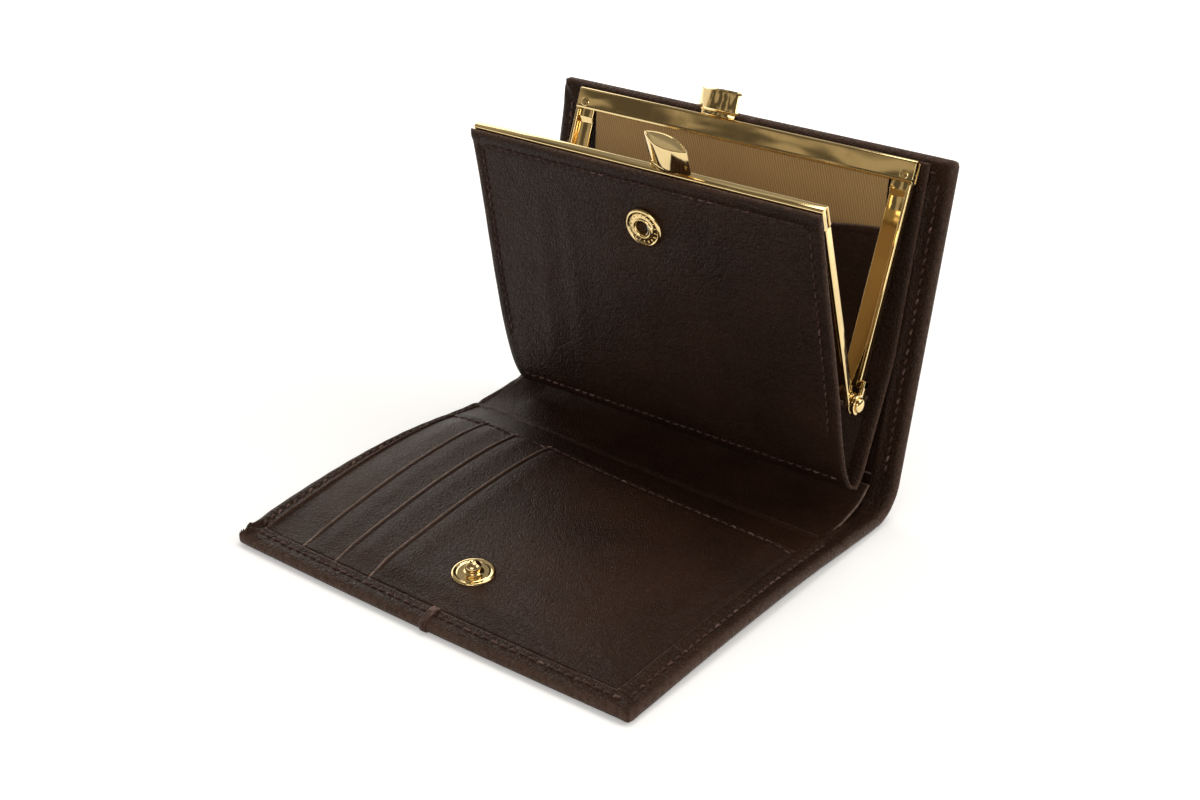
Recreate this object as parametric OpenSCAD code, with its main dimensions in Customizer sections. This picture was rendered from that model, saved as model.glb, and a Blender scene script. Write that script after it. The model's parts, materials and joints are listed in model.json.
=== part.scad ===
// Compact folding wallet with a kiss lock coin purse on its back panel.
// The flap lies flat, the spine curves up and the back panel stands and leans back.
// X runs along the spine, Y from the flap's front edge to the back, Z up.
// The origin is the middle of the flap's underside.

/* [Cover] */
// Width of the cover along the spine
cover_w = 115; // [108:1:130]
// Length of the flap from its front edge to the front crease
flap_l = 85; // [80:1:95]
// Distance between the two creases of the spine
spine_l = 15.5; // [14:0.5:20]
// Outside radius of the curve from the spine to the back panel
curve_r = 11; // [10:0.5:14]
// Straight height of the back panel above that curve
back_h = 79.6; // [76:0.2:90]
// Lean of the back panel from upright, in degrees
back_lean = 10; // [6:1:14]
// Thickness of the outer leather
cover_t = 1.2; // [0.9:0.1:1.5]
// Thickness of the turned edge, with the outer leather in it
edge_t = 2.8; // [2.6:0.1:3.2]
// Width of the turned edge
edge_w = 7.5; // [6:0.5:9]
// Corner radius of the cover
corner_r = 3; // [1.5:0.5:6]
// Thickness of the stiffening boards
board_t = 0.4; // [0.3:0.1:0.6]

/* [Card side] */
// Thickness of the leather under the card pockets
card_base_t = 0.5; // [0.4:0.1:0.7]
// Thickness of each card pocket panel
card_panel_t = 0.5; // [0.4:0.1:0.7]
// Thickness of the large pocket panel
pocket_t = 0.8; // [0.6:0.1:1.1]
// Leather left of the first card pocket
card_margin = 10; // [7:0.5:14]
// Distance from one card pocket's mouth to the next
card_pitch = 10.8; // [8:0.2:13]
// Length of the bare strip between the card panels and the front crease
strip_l = 11; // [8:0.5:14]
// Thickness of that strip
strip_t = 1; // [0.8:0.1:1.4]
// Lift of the strip's folded rear edge
strip_lip = 0.4; // [0.2:0.1:0.6]
// Height to which the card pockets swell above their sewn edges
card_swell = 5.6; // [3:0.2:6.4]

/* [Snap] */
// Radius of the stud's flange and of the socket's ring
snap_r = 5; // [4.5:0.1:5.5]
// Radius of the stud's head
stud_head_r = 1.95; // [1.7:0.05:2.1]
// Radius of the stud's neck
stud_neck_r = 1.6; // [1.3:0.05:1.65]
// Height of the stud above its flange
stud_h = 2.6; // [2.2:0.1:3.2]
// Height of the stud's round head, above its neck
stud_head_h = 1.8; // [1.6:0.1:2]
// Height of the head's widest place above the head's lower edge
stud_waist = 0.5; // [0.3:0.1:0.8]
// Thickness of the stud's flange
stud_flange_t = 0.7; // [0.5:0.1:0.9]
// Distance of the stud from the flap's front edge
stud_inset = 19; // [16:0.5:24]
// Height of the socket's ring above the leather
socket_h = 1.2; // [1:0.1:1.6]
// Distance of the socket below the top of the front bar
socket_drop = 15.4; // [12:0.2:20]

/* [Purse] */
// Width of the purse's leather
purse_w = 102.6; // [102:0.2:106]
// Thickness of the purse's back wall and fold
wall_t = 0.9; // [0.7:0.1:1]
// Thickness of the purse's front wall
front_t = 1.2; // [1:0.1:1.5]
// How far the front wall stands out from the frame at the hinge
belly = 9.3; // [8:0.1:11]
// Inside radius of the fold at the purse's bottom
fold_r = 1.7; // [1.5:0.1:2.4]
// Height of the fold's centre above the underside
fold_z = 12.3; // [11.5:0.1:14]
// How far the fold's centre is in front of the rear crease
fold_y = 1; // [0:0.1:2]
// Distance from the rear bar's top down to the back wall's bend
bend_drop = 48; // [42:0.5:52]
// Inset of the side gussets from the edge of the walls
gusset_inset = 4.7; // [4:0.1:6]
// Thickness of the side gussets
gusset_t = 0.8; // [0.6:0.1:1]
// Width of the twill lining
lining_w = 86; // [80:0.5:87]
// Thickness of the twill lining
lining_t = 0.4; // [0.3:0.1:0.5]
// Distance from the rear bar's top down to the slip pocket
slip_drop = 20.4; // [16:0.2:26]
// Thickness of the slip pocket
slip_t = 0.7; // [0.5:0.1:0.9]

/* [Frame] */
// Length of each bar
bar_w = 98.4; // [97:0.2:100]
// Depth of each bar
bar_d = 2.6; // [2.4:0.1:3.2]
// Height of each bar
bar_h = 4.9; // [4.5:0.1:6]
// Metal thickness of the bars
bar_t = 0.5; // [0.4:0.1:0.6]
// Distance from the hinge to the top of the bars
arm_l = 58.4; // [54:0.2:62]
// Width of each side arm
arm_w = 5.5; // [4.5:0.1:5.6]
// Thickness of each side arm
arm_t = 1; // [0.8:0.1:1.2]
// Height of the cover above the rear bar
bar_drop = 1.6; // [0.8:0.1:3]
// Lean of the rear half frame away from the back panel, in degrees
frame_tilt = 9.8; // [8:0.2:12]
// Angle between the two half frames as the purse stands open
frame_open = 40.2; // [36:0.2:44]
// Radius of the hinge ears
ear_r = 2.6; // [2.3:0.1:2.8]
// Radius of the hinge rivets
rivet_r = 1; // [0.8:0.05:1.2]
// Radius of the rivets' domed heads
dome_r = 1.9; // [1.7:0.05:2.2]

/* [Clasps] */
// Length of each leaf-shaped clasp from tip to tip
clasp_l = 15.5; // [13:0.1:16]
// Width of each clasp
clasp_w = 4.7; // [4:0.1:5.2]
// Height of each clasp
clasp_h = 5.5; // [5:0.1:7]
// Height of the stem under each clasp
stem_h = 1; // [0.8:0.1:1.4]
// Length of the stem
stem_l = 9; // [7:0.5:10]
// Width of the stem
stem_w = 2.2; // [1.6:0.1:2.4]
// Turn of the clasps from the line of the bars, in degrees
clasp_turn = 16; // [12:1:20]
// Clear distance along the bars between the two clasps' tips
clasp_gap = 0.45; // [0.4:0.05:1]

/* [Hidden] */
$fn = 72;

// Clearances and small values shared by several pieces
fit = 0.05;          // between pieces of one body that are pressed or glued together
knuckle_gap = 0.08;  // between the outer leathers at a crease
crease_gap = 1.2;    // kept free on each side of a crease above the outer leather
eps = 0.01;          // overlap of cuts

// Creases: their axes lie in the middle of the outer leather
half_w = cover_w / 2;
inner_w = half_w - edge_w;
crease_z = cover_t / 2;
crease1_y = flap_l / 2;
crease2_y = crease1_y + spine_l;

// How far the inner sheets of the spine reach over the turned edges on each side
sheet_over = 3;

// Curve and back panel: the panel starts where the curve has turned to its lean
curve_c = [crease2_y, curve_r];
panel_foot = curve_c + curve_r * [cos(back_lean), -sin(back_lean)];
function on_back(y, z) = panel_foot + y * [cos(back_lean), -sin(back_lean)]
                                    + z * [sin(back_lean), cos(back_lean)];

// Purse walls against the back panel
wall_gap = 0.1;
wall_out = edge_t + wall_gap;
wall_in = wall_out + wall_t;
bar_top_z = back_h - bar_drop;

// Half frames: each is laid out upright about the hinge, u up the arms and v away from
// the plane in which the two halves meet, then leant over
bar_gap = 0.1;
rear_lean = back_lean + frame_tilt;
front_lean = frame_open - rear_lean;
bar_corner = on_back(-(wall_in + 2 * fit), bar_top_z);
hinge_at = bar_corner - [(bar_gap + bar_d) * cos(rear_lean) + arm_l * sin(rear_lean),
                         -(bar_gap + bar_d) * sin(rear_lean) + arm_l * cos(rear_lean)];
function in_rear(v, u) = hinge_at + [v * cos(rear_lean) + u * sin(rear_lean),
                                     -v * sin(rear_lean) + u * cos(rear_lean)];
function in_front(v, u) = hinge_at + [v * cos(front_lean) - u * sin(front_lean),
                                      v * sin(front_lean) + u * cos(front_lean)];

// Ears: the front half's ears lie inside the rear half's
ear_t = 1;
ear_gap = 0.2;
ear_in = bar_w / 2 - ear_t;
ear_out = bar_w / 2 + ear_gap;
ear_margin = 1;
ear_clear = ear_r + ear_margin;
step_rise = 0.2;
running = 0.05;
joggle_h = 1.4;
web_d = 2.2;
cord_r = 0.5;
channel_t = bar_d - 2 * bar_t;
channel_v = bar_gap + bar_t;
bar_top_r = 0.6;

// Linings: their top hem lies in the bars' channels, and the rear one bends with its wall
lining_v = channel_v + fit + lining_t;
hem_drop = 2;
bend_ease = 3;
lining_foot = 4;
front_meet_drop = 14;
slip_inset = 2;

// Front wall: a flat panel from just in front of the bar to below the hinge
front_top_drop = 1;
front_top_u = arm_l - front_top_drop;
front_end_u = -2;
front_top_v = bar_gap + bar_d + fit;
front_tilt = atan2(belly - front_top_v, front_top_u - front_end_u);
function front_v(u) = front_top_v + (front_top_u - u) * tan(front_tilt);
socket_u = arm_l - socket_drop;

// Fold of the purse's bottom: two flat legs run from it, one to the front wall's end and
// one to the bend of the back wall
fold_out_r = fold_r + wall_t;
fold_c = [crease2_y - fold_y, fold_z];
leg_front_aim = in_front(-(belly + front_t), front_end_u);
leg_rear_aim = on_back(-wall_out, bar_top_z - bend_drop);
function leg_len(aim) = sqrt(pow(norm(aim - fold_c), 2) - pow(fold_out_r, 2));
function leg_turn(aim) = asin(fold_out_r / norm(aim - fold_c));
leg_front_lean = atan2(fold_c[0] - leg_front_aim[0], leg_front_aim[1] - fold_c[1])
                 - leg_turn(leg_front_aim);
leg_rear_lean = atan2(leg_rear_aim[0] - fold_c[0], leg_rear_aim[1] - fold_c[1])
                - leg_turn(leg_rear_aim);
split_gap = 2.4;
leg_front_l = leg_len(leg_front_aim) - split_gap;
leg_rear_l = leg_len(leg_rear_aim);
function on_leg(x, s) = fold_c + x * [cos(leg_rear_lean), -sin(leg_rear_lean)]
                               + s * [sin(leg_rear_lean), cos(leg_rear_lean)];

// Card side heights
board_z = cover_t;
base_z = board_z + board_t;
panel1_z = base_z + card_base_t;
panel2_z = panel1_z + card_panel_t;
pocket_z = panel2_z + card_panel_t;
stud_z = pocket_z + pocket_t;
card_y0 = -flap_l / 2 + edge_w;
card_y1 = crease1_y - strip_l;
stud_y = -flap_l / 2 + stud_inset;
shaft_r = 1.3;
anchor_r = 4.2;

// Swell of the card pockets: none along their sewn edges, most left of their middle. Its
// facets meet along these lines, and one facet carries the stud.
swell_power = 0.6;
seat_half = 7;
card_x0 = -inner_w + fit;
mouth_1 = -inner_w + card_margin;
mouth_2 = mouth_1 + card_pitch;
mouth_3 = mouth_2 + card_pitch;
side_lines = 3;
swell_xs = concat([card_x0, mouth_1, mouth_2, mouth_3, -seat_half],
                  [for (k = [0 : side_lines]) seat_half + k * (-card_x0 - seat_half) / side_lines]);
swell_y0 = card_y0 + fit;
swell_y1 = card_y1 - fit;
rear_lines = 4;
swell_ys = concat([swell_y0, stud_y - seat_half],
                  [for (k = [0 : rear_lines])
                      stud_y + seat_half + k * (swell_y1 - stud_y - seat_half) / rear_lines]);
function swell(x, y) = card_swell * sin(180 * pow((x - card_x0) / (-2 * card_x0), swell_power))
                                  * sin(180 * (y - swell_y0) / (swell_y1 - swell_y0));

// The stud stands square on its facet
function seat_mean(sides, ends) = ([for (i = sides) for (j = ends)
    swell(i * seat_half, stud_y + j * seat_half)] * [for (i = sides) for (j = ends) 1])
    / (len(sides) * len(ends));
seat_lift = seat_mean([-1, 1], [-1, 1]);
seat_pitch = atan((seat_mean([-1, 1], [1]) - seat_mean([-1, 1], [-1])) / (2 * seat_half));
seat_roll = atan((seat_mean([-1], [-1, 1]) - seat_mean([1], [-1, 1])) / (2 * seat_half));
seat_k = cos(seat_pitch) * cos(seat_roll);
seat_dip = abs(seat_mean([-1], [-1]) + seat_mean([1], [1]) - 2 * seat_lift) / 2;   // of its fold

// Clasps
clasp_reach = clasp_l / 2 * cos(clasp_turn);
clasp_shift = 0.7;
meet_x = 0.55;

leather = "#3a2a22";
leather_in = "#2e211b";
twill = "#a5825a";
gold = "#d9c48a";
board = "#8d8373";

// Extrudes a shape drawn in the Y-Z plane along X
module along_x(x0, x1) {
    translate([x0, 0, 0])
        rotate([90, 0, 90])
            linear_extrude(height = x1 - x0)
                children();
}

// Carries a piece drawn upright at the origin to the foot of the back panel
module on_panel() {
    translate([0, panel_foot[0], panel_foot[1]])
        rotate([-back_lean, 0, 0])
            children();
}

// Carries a half frame drawn upright about the hinge to the rear half's lean
module on_rear_frame() {
    translate([0, hinge_at[0], hinge_at[1]])
        rotate([-rear_lean, 0, 0])
            children();
}

// The same for the front half, whose depth runs the other way
module on_front_frame() {
    translate([0, hinge_at[0], hinge_at[1]])
        rotate([front_lean, 0, 0])
            mirror([0, 1, 0])
                children();
}

// Rectangle with two rounded corners at its far end
module rounded_end(w, l, r) {
    translate([-w / 2, 0])
        square([w, l - r]);
    translate([-w / 2 + r, 0])
        square([w - 2 * r, l]);
    for (side = [-1, 1])
        translate([side * (w / 2 - r), l - r])
            circle(r = r);
}

// Outline of a cover panel and its turned edge on three sides
module panel_outline(l) {
    rounded_end(cover_w, l, corner_r);
}
module panel_edge(l) {
    difference() {
        panel_outline(l);
        translate([-inner_w, -1])
            square([2 * inner_w, l - edge_w + 1]);
    }
}

// A sheet of even depth between two heights, following a list of points up its rear face
module sheet(points, t, half) {
    n = len(points);
    along_x(-half, half)
        polygon(concat(points, [for (i = [n - 1 : -1 : 0]) points[i] - [t, 0]]));
}

// In the panel's upright frame: what lies inside a depth from the outer face, with the
// curve as a full circle
module bent_panel(depth, h) {
    translate([-curve_r, 0]) {
        circle(r = curve_r - depth);
        square([curve_r - depth, h]);
    }
}

// In the same frame: everything in front of a place behind the rear crease
module before_crease(from_crease) {
    reach = 3 * curve_r;
    translate([-curve_r, 0])
        rotate(back_lean)
            translate([from_crease - 2 * reach, -reach])
                square([2 * reach, 2 * reach]);
}

// Section of the curve and the panel between two depths from the outer face
module cover_section(outer_depth, inner_depth, from_crease) {
    reach = 3 * curve_r;
    difference() {
        bent_panel(outer_depth, back_h);
        bent_panel(inner_depth, back_h + reach);
        before_crease(from_crease);
        translate([-reach, 0])
            square([reach - curve_r / 2, reach]);
    }
}

// Flap

module flap_cover() {
    rear = crease_z + knuckle_gap;
    color(leather) {
        translate([0, crease1_y - rear, 0])
            mirror([0, 1, 0])
                linear_extrude(height = cover_t)
                    panel_outline(flap_l - rear);
        translate([0, crease1_y - crease_gap, cover_t - eps])
            mirror([0, 1, 0])
                linear_extrude(height = edge_t - cover_t + eps)
                    panel_edge(flap_l - crease_gap);
    }
}

module flap_board() {
    l = flap_l - edge_w - crease_gap - fit;
    color(board)
        translate([-inner_w + fit, card_y0 + fit, board_z])
            cube([2 * (inner_w - fit), l - fit, board_t]);
}

// Carries a piece drawn upright at the origin to the stud's place on the swelled card side
module at_stud() {
    translate([0, stud_y, seat_lift])
        rotate([seat_pitch, seat_roll, 0])
            children();
}

// One swelled leather layer of the card side, from one of the lines to the right turned edge
module card_layer(first, z, t) {
    xs = [for (i = [first : len(swell_xs) - 1]) swell_xs[i]];
    m = len(swell_ys);
    top = len(xs) * m;
    last = len(xs) - 1;
    points = concat([for (x = xs) for (y = swell_ys) [x, y, z + swell(x, y)]],
                    [for (x = xs) for (y = swell_ys) [x, y, z + t + swell(x, y)]]);
    cells = [for (i = [0 : last - 1]) for (j = [0 : m - 2]) i * m + j];
    ring = concat([for (i = [0 : last - 1]) i * m],
                  [for (j = [0 : m - 2]) last * m + j],
                  [for (i = [last : -1 : 1]) i * m + m - 1],
                  [for (j = [m - 1 : -1 : 1]) j]);
    n = len(ring);
    difference() {
        polyhedron(points, concat(
            [for (c = cells) [c, c + m, c + m + 1]],
            [for (c = cells) [c, c + m + 1, c + 1]],
            [for (c = cells) [c + top, c + top + m + 1, c + top + m]],
            [for (c = cells) [c + top, c + top + 1, c + top + m + 1]],
            [for (k = [0 : n - 1]) [ring[k], ring[k] + top, ring[(k + 1) % n] + top]],
            [for (k = [0 : n - 1]) [ring[k], ring[(k + 1) % n] + top, ring[(k + 1) % n]]]));
        at_stud()
            cylinder(r = shaft_r + fit, h = 2 * stud_z, center = true);
    }
}

module card_base() {
    color(leather_in) card_layer(0, base_z, card_base_t);
}

module card_panel_1() {
    color(leather) card_layer(1, panel1_z, card_panel_t);
}

module card_panel_2() {
    color(leather_in) card_layer(2, panel2_z, card_panel_t);
}

module pocket_panel() {
    color(leather) card_layer(3, pocket_z, pocket_t);
}

// Strip between the card panels and the front crease, with a folded lip at the crease
module hinge_strip() {
    lip_w = 1.2;
    color(leather_in)
        along_x(-inner_w + fit, inner_w - fit)
            polygon([[card_y1 + fit, base_z],
                     [crease1_y - crease_gap, base_z],
                     [crease1_y - crease_gap, base_z + strip_t + strip_lip],
                     [crease1_y - crease_gap - lip_w, base_z + strip_t + strip_lip],
                     [crease1_y - crease_gap - lip_w, base_z + strip_t],
                     [card_y1 + fit, base_z + strip_t]]);
}

// Stud: shaft through the card side, dished flange, neck and a round head with a flat top
module snap_stud() {
    dish_r = 3.4;
    dish_t = 0.35;
    seat_z = stud_z * seat_k + fit;
    top_z = seat_z + stud_flange_t + stud_h;
    head_z = top_z - stud_head_h + stud_waist;
    color(gold)
        at_stud() {
            translate([0, 0, base_z * seat_k - fit - seat_dip])
                cylinder(r = shaft_r, h = (stud_z - base_z) * seat_k + 2 * fit + seat_dip + eps);
            difference() {
                translate([0, 0, seat_z])
                    cylinder(r = snap_r, h = stud_flange_t);
                translate([0, 0, seat_z + dish_t])
                    cylinder(r = dish_r, h = stud_flange_t);
            }
            translate([0, 0, seat_z])
                cylinder(r = stud_neck_r, h = top_z - seat_z - stud_head_h + eps);
            intersection() {
                translate([0, 0, head_z])
                    sphere(r = stud_head_r);
                translate([0, 0, top_z - stud_head_h])
                    cylinder(r = stud_head_r + 1, h = stud_head_h);
            }
        }
}

module stud_anchor() {
    color(gold)
        at_stud()
            translate([0, 0, base_z * seat_k - fit - seat_dip - board_t])
                cylinder(r = anchor_r, h = board_t);
}

// Spine

// Outer leather between the creases, rounded at both ends like a knuckle
module spine_cover() {
    color(leather) {
        along_x(-half_w, half_w) {
            translate([crease1_y, 0])
                square([spine_l, cover_t]);
            for (y = [crease1_y, crease2_y])
                translate([y, crease_z])
                    circle(r = crease_z);
        }
        for (side = [-1, 1])
            translate([side * (half_w - edge_w / 2) - edge_w / 2, crease1_y + crease_gap, cover_t - eps])
                cube([edge_w, spine_l - 2 * crease_gap, edge_t - cover_t + eps]);
    }
}

// Inner floor of the spine: it rests on the turned edges and rises to the purse's fold
module floor_leather() {
    floor_t = 0.7;
    flat_l = 4;
    rise = 3.2;
    half = inner_w + sheet_over;
    start_y = crease1_y + crease_gap;
    end_y = crease2_y - 2;
    color(leather_in)
        along_x(-half, half)
            polygon([[start_y, edge_t],
                     [start_y + flat_l, edge_t],
                     [end_y, edge_t + rise],
                     [end_y, edge_t + rise + floor_t],
                     [start_y + flat_l, edge_t + floor_t],
                     [start_y, edge_t + floor_t]]);
}

// Back panel

module back_cover() {
    color(leather)
        on_panel()
            difference() {
                union() {
                    along_x(-half_w, half_w)
                        cover_section(0, cover_t, crease_z + knuckle_gap);
                    for (x = [-half_w, inner_w])
                        along_x(x, x + edge_w)
                            cover_section(cover_t - fit, edge_t, crease_gap);
                    translate([-half_w, -edge_t, back_h - edge_w])
                        cube([cover_w, edge_t - cover_t + fit, edge_w]);
                }
                for (side = [0, 1])
                    mirror([side, 0, 0])
                        translate([half_w - corner_r, -edge_t - 1, back_h - corner_r])
                            corner_waste(edge_t + 2);
            }
}

// What is cut off to round a corner, along Y: the corner is at +X, +Z
module corner_waste(l) {
    rotate([90, 0, 0])
        translate([0, 0, -l])
            linear_extrude(height = l)
                difference() {
                    square(2 * corner_r);
                    circle(r = corner_r);
                }
}

// Layers inside the back panel: they lie between the turned edges
module back_layer(depth, t) {
    on_panel()
        translate([-inner_w + fit, -depth - t, 0])
            cube([2 * (inner_w - fit), t, back_h - edge_w - fit]);
}

module back_board() {
    color(board) back_layer(cover_t, board_t);
}

module bill_lining() {
    lining_depth = cover_t + board_t;
    color(leather_in) back_layer(lining_depth, 0.5);
}

// Inner sheet of the bill compartment: it lies on the turned edges of the curve
module bill_divider() {
    divider_t = 0.6;
    from_crease = 3.5;
    top_drop = 1.4;
    half = inner_w + sheet_over;
    reach = 3 * curve_r;
    color(leather_in)
        on_panel()
            along_x(-half, half)
                difference() {
                    translate([-curve_r, 0])
                        circle(r = curve_r - edge_t);
                    translate([-curve_r, 0])
                        circle(r = curve_r - edge_t - divider_t);
                    before_crease(from_crease);
                    translate([-reach, -top_drop])
                        square([2 * reach, reach]);
                }
}

// Purse

// Leather of the purse that stays with the back panel: back wall, bottom fold and the
// short front leg that rises to the moving front wall
module purse_shell() {
    far = 4 * fold_out_r;
    half = purse_w / 2;
    bend = on_back(-wall_out, bar_top_z - bend_drop);
    color(leather)
        along_x(-half, half) {
            translate(fold_c) {
                difference() {
                    circle(r = fold_out_r);
                    circle(r = fold_r);
                    polygon([[0, 0],
                             far * [-cos(leg_front_lean), -sin(leg_front_lean)],
                             [-far, far],
                             [far, far],
                             far * [cos(leg_rear_lean), -sin(leg_rear_lean)]]);
                }
                rotate(leg_front_lean)
                    translate([-fold_out_r, -eps])
                        square([wall_t, leg_front_l + eps]);
                rotate(-leg_rear_lean)
                    translate([fold_r, -eps])
                        square([wall_t, leg_rear_l + eps]);
            }
            polygon([bend,
                     on_back(-wall_out, bar_top_z),
                     on_back(-wall_in, bar_top_z),
                     on_back(-wall_in, bar_top_z - bend_drop),
                     on_leg(fold_r, leg_rear_l),
                     on_leg(fold_out_r, leg_rear_l)]);
        }
}

// Side gusset: a leaf of leather set in from the walls' edges, below the hinge
module gusset(side) {
    x = side * (purse_w / 2 - gusset_inset);
    reach = leg_rear_l + fold_out_r;
    inner_r = fold_r - fit;
    color(leather_in)
        along_x(x - gusset_t / 2, x + gusset_t / 2)
            translate(fold_c) {
                circle(r = inner_r);
                intersection() {
                    rotate(leg_front_lean)
                        translate([-inner_r, 0])
                            square([reach, leg_front_l]);
                    rotate(-leg_rear_lean)
                        translate([inner_r - reach, 0])
                            square([reach, leg_rear_l]);
                }
            }
}

module gusset_left() {
    gusset(-1);
}

module gusset_right() {
    gusset(1);
}

// Twill lining of the back wall: its top edge is held in the rear bar
module lining_rear() {
    color(twill)
        sheet([in_rear(lining_v, arm_l - hem_drop),
               in_rear(lining_v, arm_l - bar_h - fit),
               on_back(-(wall_in + fit), bar_top_z - slip_drop + bend_ease),
               on_back(-(wall_in + fit), bar_top_z - bend_drop + bend_ease),
               on_leg(fold_r - fit, leg_rear_l - bend_ease),
               on_leg(fold_r - fit, lining_foot)], lining_t, lining_w / 2);
}

// Leather slip pocket in front of the lining, with its bend a little wider
module slip_pocket() {
    face = wall_in + 2 * fit + lining_t / cos(back_lean);
    leg_face = fold_r - 2 * fit - lining_t;
    ease = bend_ease + slip_t;
    foot = lining_foot + slip_inset;
    color(leather_in)
        sheet([on_back(-face, bar_top_z - slip_drop),
               on_back(-face, bar_top_z - bend_drop + ease),
               on_leg(leg_face, leg_rear_l - ease),
               on_leg(leg_face, foot)], slip_t, lining_w / 2);
}

// Front wall: flat panel with the socket's hole, on the front half frame
module purse_front_wall() {
    half = purse_w / 2;
    color(leather)
        on_front_frame()
            difference() {
                along_x(-half, half)
                    polygon([[front_v(front_top_u), front_top_u],
                             [front_v(front_top_u) + front_t, front_top_u],
                             [front_v(front_end_u) + front_t, front_end_u],
                             [front_v(front_end_u), front_end_u]]);
                at_socket() {
                    translate([0, 0, -front_t - 1])
                        cylinder(r = barrel_r + fit, h = front_t + 2);
                    translate([0, 0, -front_t - 1])
                        cylinder(r = cap_r + fit, h = 1 + cap_t);
                }
            }
}

// Twill lining of the front wall: below the bar it slants out to lie on the leather
module lining_front() {
    meet_u = arm_l - front_meet_drop;
    points = [[lining_v, arm_l - hem_drop],
              [lining_v, arm_l - bar_h - fit],
              [front_v(meet_u) - fit, meet_u],
              [front_v(lining_foot) - fit, lining_foot]];
    color(twill)
        on_front_frame()
            sheet(points, lining_t, lining_w / 2);
}

// Snap socket on the front wall

barrel_r = 2.8;
bore_r = stud_head_r + 0.15;
groove_r = bore_r + 0.4;
cap_r = 4.4;
cap_t = 0.4;

// Carries a piece to the outer face of the front wall, its own Z pointing out of the wall
module at_socket() {
    translate([0, front_v(socket_u) + front_t, socket_u])
        rotate([front_tilt, 0, 0])
            rotate([-90, 0, 0])
                children();
}

// Ring with a low raised rim and a barrel through the leather
module snap_socket() {
    lip = 0.8;
    low = socket_h - 0.3;
    color(gold)
        on_front_frame()
            at_socket()
                difference() {
                    union() {
                        cylinder(r = snap_r, h = low);
                        cylinder(r = bore_r + lip, h = socket_h);
                        translate([0, 0, cap_t - front_t])
                            cylinder(r = barrel_r, h = front_t - cap_t + eps);
                    }
                    translate([0, 0, -front_t])
                        cylinder(r = bore_r, h = front_t + socket_h + 1);
                    translate([0, 0, -0.1])
                        cylinder(r = groove_r, h = 0.6);
                }
}

// Spring ring in the socket's groove
module snap_spring() {
    wire_r = 0.2;
    color("#b8b2a0")
        on_front_frame()
            at_socket()
                translate([0, 0, 0.2])
                    rotate_extrude()
                        translate([bore_r + wire_r - 0.02, 0])
                            circle(r = wire_r, $fn = 24);
}

// Cap that clinches the socket, let into the wall's inner face
module snap_cap() {
    color(gold)
        on_front_frame()
            at_socket()
                translate([0, 0, -front_t])
                    cylinder(r = cap_r, h = cap_t - fit);
}

// Frame

// Bar: an inverted channel with rounded top edges
module bar() {
    top_r = bar_top_r;
    along_x(-bar_w / 2, bar_w / 2)
        difference() {
            union() {
                translate([bar_gap, arm_l - bar_h])
                    square([bar_d, bar_h - top_r]);
                translate([bar_gap + top_r, arm_l - bar_h])
                    square([bar_d - 2 * top_r, bar_h]);
                for (v = [bar_gap + top_r, bar_gap + bar_d - top_r])
                    translate([v, arm_l - top_r])
                        circle(r = top_r);
            }
            translate([channel_v, arm_l - bar_h - eps])
                square([channel_t, bar_h - bar_t + eps]);
        }
}

module frame_bar_rear() {
    color(gold) on_rear_frame() bar();
}

module frame_bar_front() {
    color(gold) on_front_frame() bar();
}

// Side arm: a flat flange that runs up into the bar's channel, and a narrow web
module arm_body(foot_u) {
    half = bar_w / 2;
    flange_v = channel_v + fit;
    translate([half - arm_w, flange_v, foot_u])
        cube([arm_w, arm_t, arm_l - bar_t - fit - foot_u]);
    translate([half - ear_t, bar_gap, foot_u])
        cube([ear_t, web_d, arm_l - bar_h - fit - foot_u]);
}

// Ear: a disc about the hinge and a neck up to the arm's foot
module ear(x0, bore, neck_u) {
    difference() {
        union() {
            translate([x0, 0, 0])
                rotate([0, 90, 0])
                    cylinder(r = ear_r, h = ear_t);
            translate([x0, bar_gap, 0])
                cube([ear_t, web_d, neck_u]);
        }
        translate([x0 - 1, 0, 0])
            rotate([0, 90, 0])
                cylinder(r = bore, h = ear_t + 2);
    }
}

module arm_front_half() {
    arm_body(ear_clear);
    ear(ear_in, rivet_r + running, ear_clear + eps);
}

// The rear arms step outwards above the hinge, so that their ears lie outside
module arm_rear_half() {
    step_u = ear_clear + step_rise;
    arm_body(step_u);
    translate([ear_in, bar_gap, step_u])
        cube([ear_out + ear_t - ear_in, web_d, joggle_h]);
    ear(ear_out, rivet_r + fit, step_u + joggle_h);
}

module frame_arm_rear_right() {
    color(gold) on_rear_frame() arm_rear_half();
}

module frame_arm_rear_left() {
    color(gold) on_rear_frame() mirror([1, 0, 0]) arm_rear_half();
}

module frame_arm_front_right() {
    color(gold) on_front_frame() arm_front_half();
}

module frame_arm_front_left() {
    color(gold) on_front_frame() mirror([1, 0, 0]) arm_front_half();
}

// Paper cord that wedges the lining in a bar's channel
module frame_cord() {
    along_x(-lining_w / 2, lining_w / 2)
        translate([lining_v + fit + cord_r, arm_l - hem_drop])
            circle(r = cord_r);
}

module frame_cord_rear() {
    color(board) on_rear_frame() frame_cord();
}

module frame_cord_front() {
    color(board) on_front_frame() frame_cord();
}

// Rivet through both ears on one side, with a flat inner head and a domed outer head
module rivet() {
    head_t = 0.7;
    inner_x = ear_in - running - head_t;
    outer_x = ear_out + ear_t + running;
    dome_h = 1.1;
    ball_r = (pow(dome_r, 2) + pow(dome_h, 2)) / (2 * dome_h);
    rotate([0, 90, 0]) {
        translate([0, 0, inner_x])
            cylinder(r = dome_r, h = head_t);
        translate([0, 0, inner_x])
            cylinder(r = rivet_r, h = outer_x + eps - inner_x);
        intersection() {
            translate([0, 0, outer_x])
                cylinder(r = dome_r + 1, h = dome_h + 1);
            translate([0, 0, outer_x + dome_h - ball_r])
                sphere(r = ball_r);
        }
    }
}

module hinge_rivet_right() {
    color(gold) on_rear_frame() rivet();
}

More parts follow.
